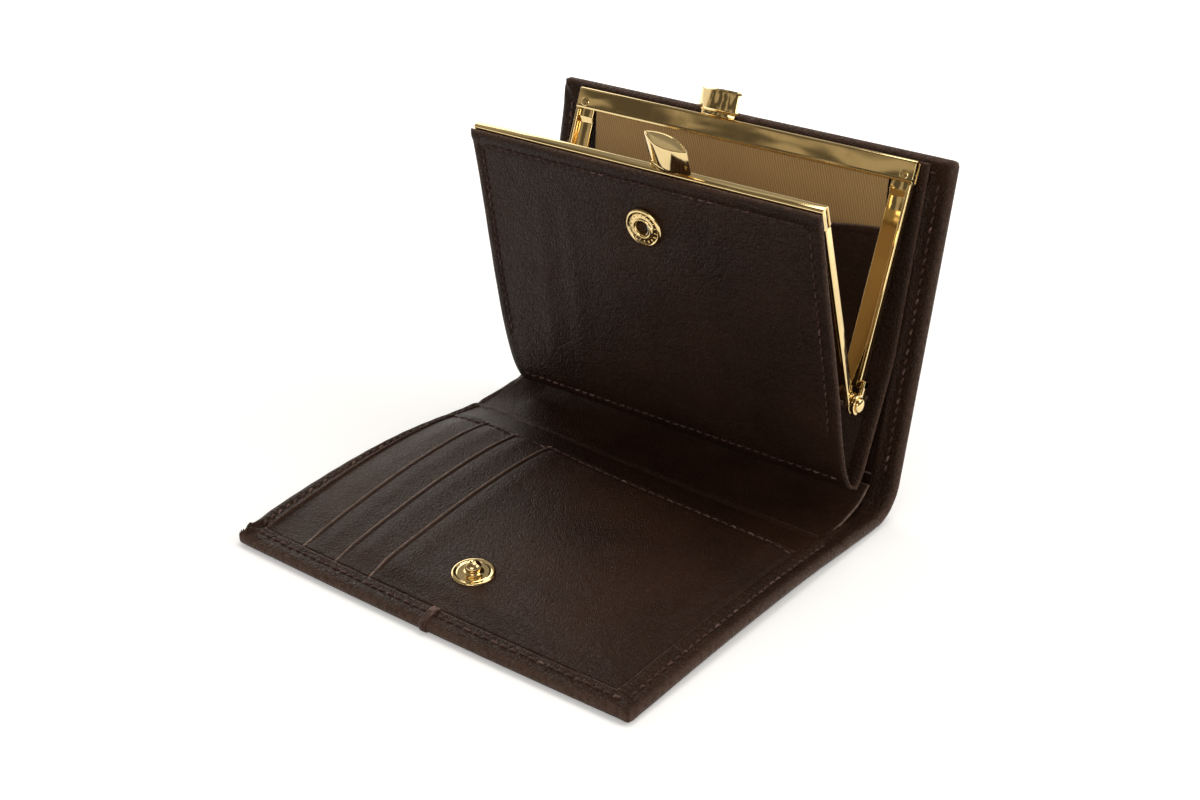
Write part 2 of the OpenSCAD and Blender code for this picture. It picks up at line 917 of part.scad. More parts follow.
module hinge_rivet_left() {
    color(gold) on_rear_frame() mirror([1, 0, 0]) rivet();
}

// Leaf-shaped outline with two pointed tips
module leaf(l, w) {
    r = (l * l + w * w) / (4 * w);
    intersection() {
        translate([0, r - w / 2])
            circle(r = r, $fn = 180);
        translate([0, w / 2 - r])
            circle(r = r, $fn = 180);
    }
}

// Clasp: a leaf-shaped block turned across its bar, on a shorter stem in line with the bar.
// The block's inner tip reaches over the plane in which the halves meet.
module clasp(side) {
    x = meet_x + side * (clasp_gap / 2 + clasp_reach);
    bar_v = bar_gap + bar_d / 2;
    translate([x, bar_v, arm_l])
        linear_extrude(height = stem_h + eps)
            leaf(stem_l, stem_w);
    translate([x, bar_v - clasp_shift, arm_l + stem_h])
        rotate([0, 0, side * clasp_turn])
            linear_extrude(height = clasp_h)
                leaf(clasp_l, clasp_w);
}

module clasp_rear() {
    color(gold) on_rear_frame() clasp(-1);
}

module clasp_front() {
    color(gold) on_front_frame() clasp(1);
}

flap_cover();
flap_board();
card_base();
card_panel_1();
card_panel_2();
pocket_panel();
hinge_strip();
snap_stud();
stud_anchor();
spine_cover();
floor_leather();
back_cover();
back_board();
bill_lining();
bill_divider();
purse_shell();
gusset_left();
gusset_right();
lining_rear();
slip_pocket();
frame_bar_rear();
frame_arm_rear_left();
frame_arm_rear_right();
frame_cord_rear();
clasp_rear();
hinge_rivet_left();
hinge_rivet_right();
purse_front_wall();
lining_front();
frame_bar_front();
frame_arm_front_left();
frame_arm_front_right();
frame_cord_front();
clasp_front();
snap_socket();
snap_spring();
snap_cap();
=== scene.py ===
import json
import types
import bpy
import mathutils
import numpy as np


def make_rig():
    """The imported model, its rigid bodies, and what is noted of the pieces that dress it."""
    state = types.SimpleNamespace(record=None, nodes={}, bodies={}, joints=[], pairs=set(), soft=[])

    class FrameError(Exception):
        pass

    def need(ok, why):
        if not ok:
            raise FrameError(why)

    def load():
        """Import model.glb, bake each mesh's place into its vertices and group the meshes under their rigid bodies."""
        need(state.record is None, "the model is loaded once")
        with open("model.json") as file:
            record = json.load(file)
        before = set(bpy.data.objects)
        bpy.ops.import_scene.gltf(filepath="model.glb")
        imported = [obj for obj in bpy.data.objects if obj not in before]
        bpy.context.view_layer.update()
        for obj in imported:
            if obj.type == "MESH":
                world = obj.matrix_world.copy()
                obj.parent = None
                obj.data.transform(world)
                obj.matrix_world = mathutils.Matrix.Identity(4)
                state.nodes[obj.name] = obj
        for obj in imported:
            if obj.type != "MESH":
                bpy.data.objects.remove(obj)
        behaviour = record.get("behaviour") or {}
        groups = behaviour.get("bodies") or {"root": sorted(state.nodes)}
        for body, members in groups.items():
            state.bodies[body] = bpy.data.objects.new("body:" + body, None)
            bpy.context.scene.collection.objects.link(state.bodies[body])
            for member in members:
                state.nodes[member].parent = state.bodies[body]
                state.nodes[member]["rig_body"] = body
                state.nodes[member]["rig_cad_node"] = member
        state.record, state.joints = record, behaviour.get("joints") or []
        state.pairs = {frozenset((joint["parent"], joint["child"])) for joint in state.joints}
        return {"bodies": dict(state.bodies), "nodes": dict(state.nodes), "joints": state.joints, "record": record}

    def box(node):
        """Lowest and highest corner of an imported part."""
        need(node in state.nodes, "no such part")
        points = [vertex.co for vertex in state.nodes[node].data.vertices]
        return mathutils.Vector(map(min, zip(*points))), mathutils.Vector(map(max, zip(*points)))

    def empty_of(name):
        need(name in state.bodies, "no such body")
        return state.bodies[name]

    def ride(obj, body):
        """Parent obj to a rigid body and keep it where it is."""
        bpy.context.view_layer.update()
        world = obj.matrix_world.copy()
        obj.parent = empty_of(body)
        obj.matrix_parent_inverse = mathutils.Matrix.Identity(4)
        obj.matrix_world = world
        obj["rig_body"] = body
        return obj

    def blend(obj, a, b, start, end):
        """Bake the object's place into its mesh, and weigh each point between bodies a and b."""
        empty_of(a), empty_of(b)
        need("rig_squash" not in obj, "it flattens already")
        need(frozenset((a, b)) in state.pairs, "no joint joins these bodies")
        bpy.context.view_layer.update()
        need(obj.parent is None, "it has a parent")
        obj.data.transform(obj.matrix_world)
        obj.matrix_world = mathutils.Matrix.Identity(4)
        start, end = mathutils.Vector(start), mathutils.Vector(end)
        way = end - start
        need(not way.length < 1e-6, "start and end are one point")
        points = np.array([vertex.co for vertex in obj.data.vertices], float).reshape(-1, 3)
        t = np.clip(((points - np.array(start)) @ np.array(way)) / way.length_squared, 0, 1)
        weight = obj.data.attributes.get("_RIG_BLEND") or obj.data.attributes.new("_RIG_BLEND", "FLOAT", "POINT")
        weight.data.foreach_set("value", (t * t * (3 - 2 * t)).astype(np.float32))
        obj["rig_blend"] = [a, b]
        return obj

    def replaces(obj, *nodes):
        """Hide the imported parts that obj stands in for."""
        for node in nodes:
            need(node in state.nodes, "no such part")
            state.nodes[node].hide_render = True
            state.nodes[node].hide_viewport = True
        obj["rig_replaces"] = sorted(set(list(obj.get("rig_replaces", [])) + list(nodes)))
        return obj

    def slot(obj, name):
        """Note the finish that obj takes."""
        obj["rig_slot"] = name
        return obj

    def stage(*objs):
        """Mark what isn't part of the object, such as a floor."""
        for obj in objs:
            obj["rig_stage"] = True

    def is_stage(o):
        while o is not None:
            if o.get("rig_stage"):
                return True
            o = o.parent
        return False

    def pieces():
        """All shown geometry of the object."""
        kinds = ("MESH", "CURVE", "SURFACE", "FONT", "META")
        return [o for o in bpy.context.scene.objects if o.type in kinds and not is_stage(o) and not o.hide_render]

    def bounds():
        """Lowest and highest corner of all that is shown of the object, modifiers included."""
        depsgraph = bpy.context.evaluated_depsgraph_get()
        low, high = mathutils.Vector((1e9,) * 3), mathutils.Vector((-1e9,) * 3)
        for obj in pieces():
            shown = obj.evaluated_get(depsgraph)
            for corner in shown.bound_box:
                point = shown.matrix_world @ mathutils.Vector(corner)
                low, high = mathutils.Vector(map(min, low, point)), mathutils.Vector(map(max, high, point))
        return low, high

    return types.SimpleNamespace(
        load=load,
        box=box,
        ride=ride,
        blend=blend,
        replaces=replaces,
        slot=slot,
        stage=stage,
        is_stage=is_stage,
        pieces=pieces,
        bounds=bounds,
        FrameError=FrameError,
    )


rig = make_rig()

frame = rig.load()

import json
from math import asin, atan2, cos, pi, radians, sin, sqrt, tan

import bmesh
import bpy
import numpy as np
from mathutils import Matrix, Vector

CAD_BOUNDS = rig.bounds()

bl_info = {
    "name": "Folding Wallet With Framed Purse",
    "version": (1, 0, 0),
    "blender": (4, 5, 0),
    "location": "3D View > Sidebar > Wallet",
    "description": "Builds the leather, linings, metal frame and press stud of a folding wallet",
    "category": "Object",
}

MM = 0.001

# Places from the frame, in millimetres: the creases, the hinge and the widths
joint_at = {j["name"]: np.array(j["pos_m"]) / MM for j in frame["record"]["behaviour"]["joints"]}
cover_lo, cover_hi = (np.array(c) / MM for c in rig.box("flap_cover"))
purse_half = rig.box("purse_shell")[1][0] / MM
lining_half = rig.box("lining_rear")[1][0] / MM
bar_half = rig.box("frame_bar_rear")[1][0] / MM

half_w = cover_hi[0]
front_y = cover_lo[1]
crease1_y = joint_at["fold_front"][1]
crease2_y = joint_at["fold_rear"][1]
hinge_y, hinge_z = joint_at["frame_hinge"][1:]
flap_l = crease1_y - front_y

# Cover
cover_t = 1.2
edge_t = 2.8
edge_w = 7.3
left_w = 5.9
fore_w = 5.6
curve_r = 11.0
back_h = 79.6
cover_rim = 1.7
top_rim = 1.6
crease1_bend = 1.6    # how far the cover bends before and after each crease
crease2_bend = 3.2
back_lean = radians(10)
plan_r = 1.6
spine_mid = flap_l + (crease2_y - crease1_y) / 2
curve_t = flap_l + crease2_y - crease1_y
panel_t = curve_t + curve_r * (pi / 2 - back_lean)
cover_end = panel_t + back_h
foot_y = crease2_y + curve_r * cos(back_lean)
foot_z = curve_r - curve_r * sin(back_lean)

# Card side
card_t0 = fore_w - 0.5
card_t1 = flap_l - 11.2
card_left = -half_w + left_w - 0.5
card_right = half_w - edge_w + 0.5
mouths = (-40.0, -29.4, -18.5)
stud_x = 1.5
stud_t = 18.3
stud_level = 3.95
socket_x = 1.1
card_under = 1.45
card_levels = (2.35, 2.95, 3.4, 4.0)    # tops of the base, the two panels and the pocket
no_mouth = -99.0    # a mouth so far left that its fold never shows
strip_t1 = flap_l - 0.2
tack_x = 2.4

# Half frames
rear_lean = radians(19.8)
front_lean = radians(20.4)
arm_l = 58.4
bar_gap = 0.1
bar_d = 2.6
bar_h = 5.4
bar_wall = 0.5
arm_w = 5.5
web_d = 2.2
ear_r = 2.6
ear_t = 1.0
ear_gap = 0.2    # between the bar's end and the rear half's outer ear
flange_t = 0.9
flange_bend = 1.3
lip_h = 0.9
play = 0.1
rivet_r = 1.0
rivet_dome_r = 1.95
rivet_dome_h = 1.0

# Purse walls
front_top = (3.9, 57.9)
front_hip = (10.5, -2.0)
front_toe = (10.9, -13.5)
front_heel = (9.2, -21.0)
fold_low = (57.5, 9.3)
socket_u = 43.0
wall_gap = 2.9
front_half_top = 49.6
front_wall_t = 1.15
wall_top = 78.0
wall_bend = 30.0
slip_top = 58.6

# Stitches
pitch = 2.45
thread_up = 0.16    # middle of a thread over the leather

HANDS = ((-1, "left"), (1, "right"))
TINY = 1e-6


# Helpers

def smooth(x):
    """0 below 0, 1 above 1, and an even turn between."""
    x = np.clip(x, 0, 1)
    return x * x * (3 - 2 * x)


def bump_at(x, centre, width):
    """A round bump of height 1."""
    return np.exp(-(((x - centre) / width) ** 2))


def through(points, x):
    """A smooth curve through a few points, flat at its ends."""
    px, py = (np.array(v, float) for v in zip(*points))
    slope = np.zeros_like(py)
    slope[1:-1] = (py[2:] - py[:-2]) / (px[2:] - px[:-2])
    k = np.clip(np.searchsorted(px, x, side="right") - 1, 0, len(px) - 2)
    step = px[k + 1] - px[k]
    s = np.clip((x - px[k]) / step, 0, 1)
    return ((2 * s**3 - 3 * s**2 + 1) * py[k] + (s**3 - 2 * s**2 + s) * step * slope[k]
            + (3 * s**2 - 2 * s**3) * py[k + 1] + (s**3 - s**2) * step * slope[k + 1])


def stations(low, high, step, low_rim=0.0, high_rim=0.0, extra=()):
    """Places from low to high, closer together where a rim is rounded."""
    turn = np.linspace(0, pi / 2, 7)
    inner_low, inner_high = low + low_rim, high - high_rim
    count = max(2, int(round((inner_high - inner_low) / step)) + 1)
    places = [np.linspace(inner_low, inner_high, count), np.array(extra, float)]
    if low_rim:
        places.append(low + low_rim * (1 - np.cos(turn)))
    if high_rim:
        places.append(high - high_rim * (1 - np.cos(turn)))
    places = np.sort(np.concatenate(places))
    keep = np.concatenate(([True], np.diff(places) > 100 * TINY))
    return places[keep]


def spots(x, y, z):
    """Points from three arrays or numbers."""
    return np.stack(np.broadcast_arrays(x, y, z), axis=-1)


def turned(a, b, angle):
    """Two coordinates after a turn."""
    return a * cos(angle) - b * sin(angle), a * sin(angle) + b * cos(angle)


class Path:
    """A line in the Y-Z plane, followed by its length, with its corners softened."""

    def __init__(self, points, soften=0.0, step=0.2):
        p = np.array(points, float)
        length = np.concatenate(([0], np.cumsum(np.linalg.norm(np.diff(p, axis=0), axis=1))))
        s = np.arange(0, length[-1] + step / 2, step)
        s[-1] = length[-1]
        p = np.stack([np.interp(s, length, p[:, k]) for k in (0, 1)], axis=1)
        reach = int(soften / step)
        if reach:
            for _ in range(2):
                padded = np.concatenate((2 * p[0] - p[reach:0:-1], p,
                                         2 * p[-1] - p[-2:-reach - 2:-1]))
                kernel = np.ones(2 * reach + 1) / (2 * reach + 1)
                p = np.stack([np.convolve(padded[:, k], kernel, "valid") for k in (0, 1)], axis=1)
        self.s = np.concatenate(([0], np.cumsum(np.linalg.norm(np.diff(p, axis=0), axis=1))))
        self.p = p
        along = np.gradient(p, self.s, axis=0)
        along /= np.linalg.norm(along, axis=1)[:, None]
        self.normal = np.stack((-along[:, 1], along[:, 0]), axis=1)
        self.length = self.s[-1]

    def at(self, s, h):
        y = np.interp(s, self.s, self.p[:, 0]) + h * np.interp(s, self.s, self.normal[:, 0])
        z = np.interp(s, self.s, self.p[:, 1]) + h * np.interp(s, self.s, self.normal[:, 1])
        return y, z


def on_back(depth, z):
    """Place inside the back panel, depth from its outer face and z above its foot."""
    return (foot_y - depth * cos(back_lean) + z * sin(back_lean),
            foot_z + depth * sin(back_lean) + z * cos(back_lean))


def in_rear(v, u):
    """Place in the rear half frame, v behind the plane where the halves meet, u up the arms."""
    return (hinge_y + v * cos(rear_lean) + u * sin(rear_lean),
            hinge_z - v * sin(rear_lean) + u * cos(rear_lean))


def in_front(v, u):
    """The same in the front half frame, with v running forwards."""
    return (hinge_y - v * cos(front_lean) - u * sin(front_lean),
            hinge_z - v * sin(front_lean) + u * cos(front_lean))


def rear_place(x, v, u):
    return spots(x, *in_rear(v, u))


def front_place(x, v, u):
    return spots(x, *in_front(v, u))


def cover_line():
    """The outer face of the cover, from the flap's front edge round the curve and up the panel."""
    turn = np.linspace(0, pi / 2 - back_lean, 24)
    line = [(front_y, 0.0), (crease1_y, 0.0)]
    line += [(crease2_y + curve_r * sin(a), curve_r - curve_r * cos(a)) for a in turn]
    line.append(on_back(0, back_h))
    return Path(line)


COVER = cover_line()


def lift(x, t):
    """How high the card flap arches over the ground: most on its left side, least on its right."""
    across = through(((-57.5, 1.0), (-42, 1.0), (-26, 0.9), (0, 0.56), (24, 0.36), (57.5, 0.22)), x)
    inner = through(((0, 0.0), (8, 0.13), (20, 0.48), (37, 0.8), (55, 0.93), (66, 0.92), (74, 0.8),
                     (84, 0.54), (92, 0.36), (101, 0.18), (113, 0.0), (190, 0.0)), t)
    rim = through(((0, 0.0), (10, 0.23), (20, 0.43), (32, 0.62), (43, 0.73), (55, 0.76), (66, 0.68),
                   (76, 0.55), (86, 0.48), (94, 0.54), (101, 0.64), (108, 0.57), (116, 0.33),
                   (126, 0.0), (190, 0.0)), t)
    left = smooth((-x - 44) / 12)
    return bpy.context.scene.wallet.cover.arch / MM * (across * inner * (1 - left) + rim * left)


def drawn_left(x, t):
    """How far the leather between the flap's side edges is drawn to the left."""
    left = smooth((-x - 42) / 16) * smooth(t / 12) * smooth((60 - t) / 40)
    drawn = smooth((x + half_w) / 8) * smooth((35 - x) / 50) * smooth((112 - t) / 24)
    return 0.5 * left + drawn * (1.2 * smooth(t / 5) + 2.4 * smooth((t - 10) / 60))


def cover_place(x, t, h):
    """Place on the cover: t along its outer face from the front edge, h inwards from it."""
    y, z = COVER.at(t, h)
    y = y - 0.2 * bump_at(x, tack_x, 1.0) * smooth((3.5 - t) / 3.5)
    y = y - (0.8 + 0.7 * np.cos(x / half_w * pi / 2)) * smooth((40 - t) / 40)
    return spots(x - drawn_left(x, t), y, z + lift(x, t))


class Seam:
    """A straight row of stitches on a sheet, between two places of its own x and t."""

    def __init__(self, start, end, slant=0.0, depth=0.3):
        self.start = np.array(start, float)
        self.end = np.array(end, float)
        self.length = float(np.linalg.norm(self.end - self.start))
        self.count = max(1, int(round(self.length / pitch)))
        self.along = (self.end - self.start) / self.length
        self.slant = slant
        self.depth = depth

    def dip(self, x, t):
        """How far the leather is drawn down beside the thread, most at the needle's holes."""
        a = (x - self.start[0]) * self.along[0] + (t - self.start[1]) * self.along[1]
        off = (x - self.start[0]) * self.along[1] - (t - self.start[1]) * self.along[0]
        here = smooth((a + 1.2) / 1.2) * smooth((self.length + 1.2 - a) / 1.2)
        hole = 0.5 + 0.5 * np.cos(2 * pi * a * self.count / self.length)
        return here * self.depth * (bump_at(off, 0, 0.75) * 0.62 + bump_at(off, 0, 0.38) * 0.75
                                    * hole)


def dips(seams, x, t):
    return sum((seam.dip(x, t) for seam in seams), np.zeros_like(x))


def add_mesh(name, points, faces, finish, edge=None, sharp=50.0):
    """A piece from points in millimetres and faces, with its faces turned outwards."""
    mesh = bpy.data.meshes.new(name)
    mesh.from_pydata((np.asarray(points, float) * MM).tolist(), [], faces)
    if edge is not None:
        mesh.attributes.new("edge", "FLOAT", "POINT").data.foreach_set("value",
                                                                       edge.astype(np.float32))
    work = bmesh.new()
    work.from_mesh(mesh)
    bmesh.ops.recalc_face_normals(work, faces=work.faces)
    work.to_mesh(mesh)
    work.free()
    mesh.shade_smooth()
    mesh.set_sharp_from_angle(angle=radians(sharp))
    mesh.materials.append(MATERIALS[finish])
    piece = bpy.data.objects.new(name, mesh)
    bpy.context.collection.objects.link(piece)
    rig.slot(piece, SLOTS[finish])
    return piece


def round_corner(x, t, r, end_t, outward):
    """Draws a grid's two corners at one end in to a round outline."""
    centre = (x.min() + x.max()) / 2
    half = (x.max() - x.min()) / 2
    a = np.clip((np.abs(x - centre) - (half - r)) / r, 0, 1)
    b = np.clip((r - outward * (end_t - t)) / r, 0, 1)
    inside = (a > 0) & (b > 0)
    new_a = a * np.sqrt(1 - b * b / 2)
    new_b = b * np.sqrt(1 - a * a / 2)
    x = np.where(inside, centre + np.sign(x - centre) * (half - r + r * new_a), x)
    t = np.where(inside, end_t - outward * (r - r * new_b), t)
    return x, t


def quads(grid):
    """The four-sided faces of a grid of point numbers."""
    return np.stack((grid[:-1, :-1], grid[1:, :-1], grid[1:, 1:], grid[:-1, 1:]), -1).reshape(-1, 4)


def tube_faces(rows, sides, first=0):
    """The faces of a tube of equal rings of points, closed at both ends."""
    last = first + (rows - 1) * sides
    faces = [[first + r * sides + k, first + r * sides + (k + 1) % sides,
              first + (r + 1) * sides + (k + 1) % sides, first + (r + 1) * sides + k]
             for r in range(rows - 1) for k in range(sides)]
    return faces + [list(range(first, first + sides)), list(range(last, last + sides))]


def even(height):
    """A face at one height."""
    return lambda x, t: np.full_like(x, height)


def raised(face, by):
    """A face lifted evenly."""
    return lambda x, t: face(x, t) + by


def over(crease_y, before, after):
    """Where a piece starts and stops bending across a crease."""
    return {"start": (0, (crease_y - before) * MM, 0), "end": (0, (crease_y + after) * MM, 0)}


def sheet(name, xs, ts, place, top, bottom, rims, finish, corners=(0, 0), worn=None):
    """A closed sheet of leather or cloth between two heights over x and t.

    xs and ts are places already set out, or the two ends and the step, with any extra places.
    rims are the widths over which the left, right, first and last edges round off; 0 leaves
    an edge cut straight. corners are the plan radii at the first and last edge.
    """
    xs, ts = (span if isinstance(span, np.ndarray) else stations(*span[:3], *ends, *span[3:])
              for span, ends in ((xs, rims[:2]), (ts, rims[2:])))
    x, t = np.meshgrid(xs, ts, indexing="ij")
    near = np.full(x.shape, np.inf)
    for gap, rim in zip((x - xs[0], xs[-1] - x, t - ts[0], ts[-1] - t), rims):
        if rim:
            near = np.minimum(near, gap / rim)
    fullness = np.sqrt(1 - (1 - np.clip(near, 0, 1)) ** 2)
    if corners[0]:
        x, t = round_corner(x, t, corners[0], ts[0], -1)
    if corners[1]:
        x, t = round_corner(x, t, corners[1], ts[-1], 1)
    high, low = top(x, t), bottom(x, t)
    middle, half = (high + low) / 2, (high - low) / 2 * fullness
    upper = place(x, t, middle + half).reshape(-1, 3)
    lower = place(x, t, middle - half).reshape(-1, 3)
    # Rounded rims, and the paler masks passed in, take the lighter edge colour: partly edge wear, partly painted
    # highlight
    edge = (1 - np.clip(near, 0, 1)) ** 1.5
    if worn is not None:
        edge = np.maximum(edge, worn(x, t))
    n, m = x.shape
    index = np.arange(n * m).reshape(n, m)
    border = np.zeros((n, m), bool)
    border[[0, -1], :] = True
    border[:, [0, -1]] = True
    joined = (border & (half < TINY)).ravel()
    under = np.arange(n * m)
    under[~joined] = n * m + np.arange(int((~joined).sum()))
    under = under.reshape(n, m)
    points = np.concatenate((upper, lower[~joined]))
    edge = np.concatenate((edge.ravel(), edge.ravel()[~joined]))

    faces = quads(index).tolist() + quads(under)[:, ::-1].tolist()
    ring = ([(i, 0) for i in range(n)] + [(n - 1, j) for j in range(1, m)]
            + [(i, m - 1) for i in range(n - 2, -1, -1)] + [(0, j) for j in range(m - 2, 0, -1)])
    for a, b in zip(ring, ring[1:] + ring[:1]):
        corner = [index[a], index[b], under[b], under[a]]
        face = [int(c) for k, c in enumerate(corner) if c not in corner[:k]]
        if len(face) > 2:
            faces.append(face)
    return add_mesh(name, points, faces, finish, edge=edge)


def sew(name, seams, place, top, finish="thread", thick=0.31, length_share=0.8):
    """The thread of some seams: one short stitch between each pair of holes."""
    rings, sides = 7, 6
    a = np.linspace(-1, 1, rings)
    girth = np.sqrt(np.clip(1 - np.abs(a) ** 3, 0.04, 1))
    turn = np.arange(sides) * 2 * pi / sides
    shape = np.array([(i, g * cos(q), g * sin(q) - 1.5 * i**2 + 0.15) for i, g in zip(a, girth)
                      for q in turn])
    patch = tube_faces(rings, sides)
    points, faces = [], []
    for seam in seams:
        reach = seam.length / seam.count
        for k in range(seam.count):
            at = seam.start + seam.along * (k + 0.5) * reach
            turned = np.array([[cos(seam.slant), -sin(seam.slant)],
                               [sin(seam.slant), cos(seam.slant)]]) @ seam.along
            spots = np.array([at, at + 0.1 * turned, at + 0.1 * np.array([-turned[1], turned[0]])])
            flat = place(spots[:, 0], spots[:, 1], top(np.full(3, at[0]), np.full(3, at[1])))
            along = flat[1] - flat[0]
            along /= np.linalg.norm(along)
            up = np.cross(along, flat[2] - flat[0])
            up /= np.linalg.norm(up)
            side = np.cross(up, along)
            local = shape * np.array([reach / 2 * length_share, thick, thick])
            first = len(points) * len(shape)
            points.append(flat[0] + local[:, :1] * along + local[:, 1:2] * side + local[:, 2:] * up)
            faces += [[first + i for i in face] for face in patch]
    return add_mesh(name, np.concatenate(points), faces, finish)


def plate(outline, low, high, bevel, place, name, finish, turns=3):
    """A solid with an outline in two directions, between two depths, with rounded rims."""
    p = np.array(outline, float)
    before = p - np.roll(p, 1, axis=0)
    after = np.roll(p, -1, axis=0) - p
    before /= np.linalg.norm(before, axis=1)[:, None]
    after /= np.linalg.norm(after, axis=1)[:, None]
    if np.sum(p[:, 0] * np.roll(p[:, 1], -1) - np.roll(p[:, 0], -1) * p[:, 1]) < 0:
        before, after = -before, -after
    inward = np.stack((-(before + after)[:, 1], (before + after)[:, 0]), axis=1)
    inward /= np.maximum(np.sum(inward**2, axis=1), 0.8)[:, None] / 2
    rings = []
    for a in np.linspace(0, pi / 2, turns + 1):
        rings.append((bevel * (1 - sin(a)), low + bevel * (1 - cos(a))))
    for a in np.linspace(pi / 2, 0, turns + 1):
        rings.append((bevel * (1 - sin(a)), high - bevel * (1 - cos(a))))
    n = len(p)
    points = np.concatenate([place(p + inward * inset, depth) for inset, depth in rings])
    faces = tube_faces(len(rings), n)
    return add_mesh(name, points, faces, finish, sharp=35)


def revolve(profile, place, name, finish, around=72, sharp=40.0):
    """A turned piece: radius and height pairs, with an end on the axis closed to one point."""
    points, faces, rows = [], [], []
    turn = np.arange(around) * 2 * pi / around
    for r, h in profile:
        first = sum(len(p) for p in points)
        if r < TINY:
            points.append(place(np.zeros(1), np.zeros(1), np.array([h])))
            rows.append([first] * around)
        else:
            points.append(place(r * np.cos(turn), r * np.sin(turn), np.full(around, float(h))))
            rows.append(list(range(first, first + around)))
    for low, high in zip(rows, rows[1:]):
        for k in range(around):
            corner = [low[k], low[(k + 1) % around], high[(k + 1) % around], high[k]]
            face = [c for i, c in enumerate(corner) if c not in corner[:i]]
            if len(face) > 2:
                faces.append(face)
    return add_mesh(name, np.concatenate(points), faces, finish, sharp=sharp)


def rounded(points, r, turns=4):
    """A polygon with its corners rounded: r is one radius or one for each corner."""
    p = np.array(points, float)
    radii = np.broadcast_to(r, len(p))
    out = []
    for k in range(len(p)):
        before, here, after = p[k - 1], p[k], p[(k + 1) % len(p)]
        if radii[k] <= 0:
            out.append(here)
            continue
        a = (before - here) / np.linalg.norm(before - here)
        b = (after - here) / np.linalg.norm(after - here)
        half_angle = np.arccos(np.clip(a @ b, -1, 1)) / 2
        cut = radii[k] / tan(half_angle)
        centre = here + (a + b) / np.linalg.norm(a + b) * radii[k] / sin(half_angle)
        first, last = here + a * cut - centre, here + b * cut - centre
        sweep = pi - 2 * half_angle
        for i in range(turns + 1):
            share = i / turns
            mix = (sin((1 - share) * sweep) * first + sin(share * sweep) * last) / sin(sweep)
            out.append(centre + mix)
    return np.array(out)


def join(pieces, name):
    """Several separate solids as one piece."""
    points, faces, first = [], [], 0
    for piece in pieces:
        mesh = piece.data
        points += [tuple(v.co / MM) for v in mesh.vertices]
        faces += [[first + i for i in face.vertices] for face in mesh.polygons]
        first += len(mesh.vertices)
    finish = next(key for key, value in MATERIALS.items() if value == pieces[0].data.materials[0])
    for piece in pieces:
        bpy.data.objects.remove(piece)
    return add_mesh(name, points, faces, finish, sharp=35)


# Materials

SLOTS = {"outer": "outer_leather", "inner": "inner_leather", "thread": "outer_leather",
         "twill": "twill", "gold": "gilt_metal", "steel": "spring_steel", "board": "board"}
MATERIALS = {}


class Nodes:
    """Short ways to add and link a tree's nodes."""

    def __init__(self, tree):
        self.tree = tree

    def fill(self, sockets, inputs):
        """Links or sets each named socket."""
        for key, value in dict(inputs).items():
            if isinstance(value, bpy.types.NodeSocket):
                self.tree.links.new(value, sockets[key])
            else:
                sockets[key].default_value = value

    def add(self, kind, inputs=(), **settings):
        made = self.tree.nodes.new("ShaderNode" + kind)
        for key, value in settings.items():
            setattr(made, key, value)
        self.fill(made.inputs, inputs)
        return made

    def math(self, operation, a, b=0.0, clamp=False):
        return self.add("Math", {0: a, 1: b}, operation=operation, use_clamp=clamp).outputs[0]

    def plus(self, a, b, clamp=False):
        return self.math("ADD", a, b, clamp)

    def minus(self, a, b):
        return self.math("SUBTRACT", a, b)

    def times(self, a, b, clamp=False):
        return self.math("MULTIPLY", a, b, clamp)

    def mix(self, share, a, b):
        return self.add("Mix", {0: share, 6: a, 7: b}, data_type="RGBA").outputs[2]

    def range(self, value, low, high, to_low=0.0, to_high=1.0):
        return self.add("MapRange", {0: value, 1: low, 2: high, 3: to_low, 4: to_high},
                        interpolation_type="SMOOTHSTEP").outputs[0]

    def noise(self, place, scale, detail=3.0, rough=0.55):
        return self.add("TexNoise", {"Vector": place, "Scale": scale, "Detail": detail,
                                     "Roughness": rough}).outputs[0]

    def object_place(self):
        return self.add("TexCoord").outputs["Object"]

    def group(self, tree, inputs=()):
        made = self.add("Group", node_tree=tree)
        self.fill(made.inputs, inputs)
        return made.outputs

    def dress(self, shader, colour, rough, height, distance, strength=1.0):
        """Gives a shader its colour, its roughness and its relief."""
        relief = self.add("Bump", {"Strength": strength, "Distance": distance, "Height": height})
        self.fill(shader.inputs, {"Base Color": colour, "Roughness": rough,
                                  "Normal": relief.outputs[0]})


def new_group(name, inputs, outputs):
    """An empty node group with named sockets, and its input and output nodes."""
    tree = bpy.data.node_groups.new(name, "ShaderNodeTree")
    for way, sockets in (("INPUT", inputs), ("OUTPUT", outputs)):
        for label, kind, *default in sockets:
            socket = tree.interface.new_socket(label, in_out=way, socket_type="NodeSocket" + kind)
            if default:
                socket.default_value = default[0]
    nodes = Nodes(tree)
    given = tree.nodes.new("NodeGroupInput").outputs
    return nodes, nodes.object_place(), given, tree.nodes.new("NodeGroupOutput").inputs


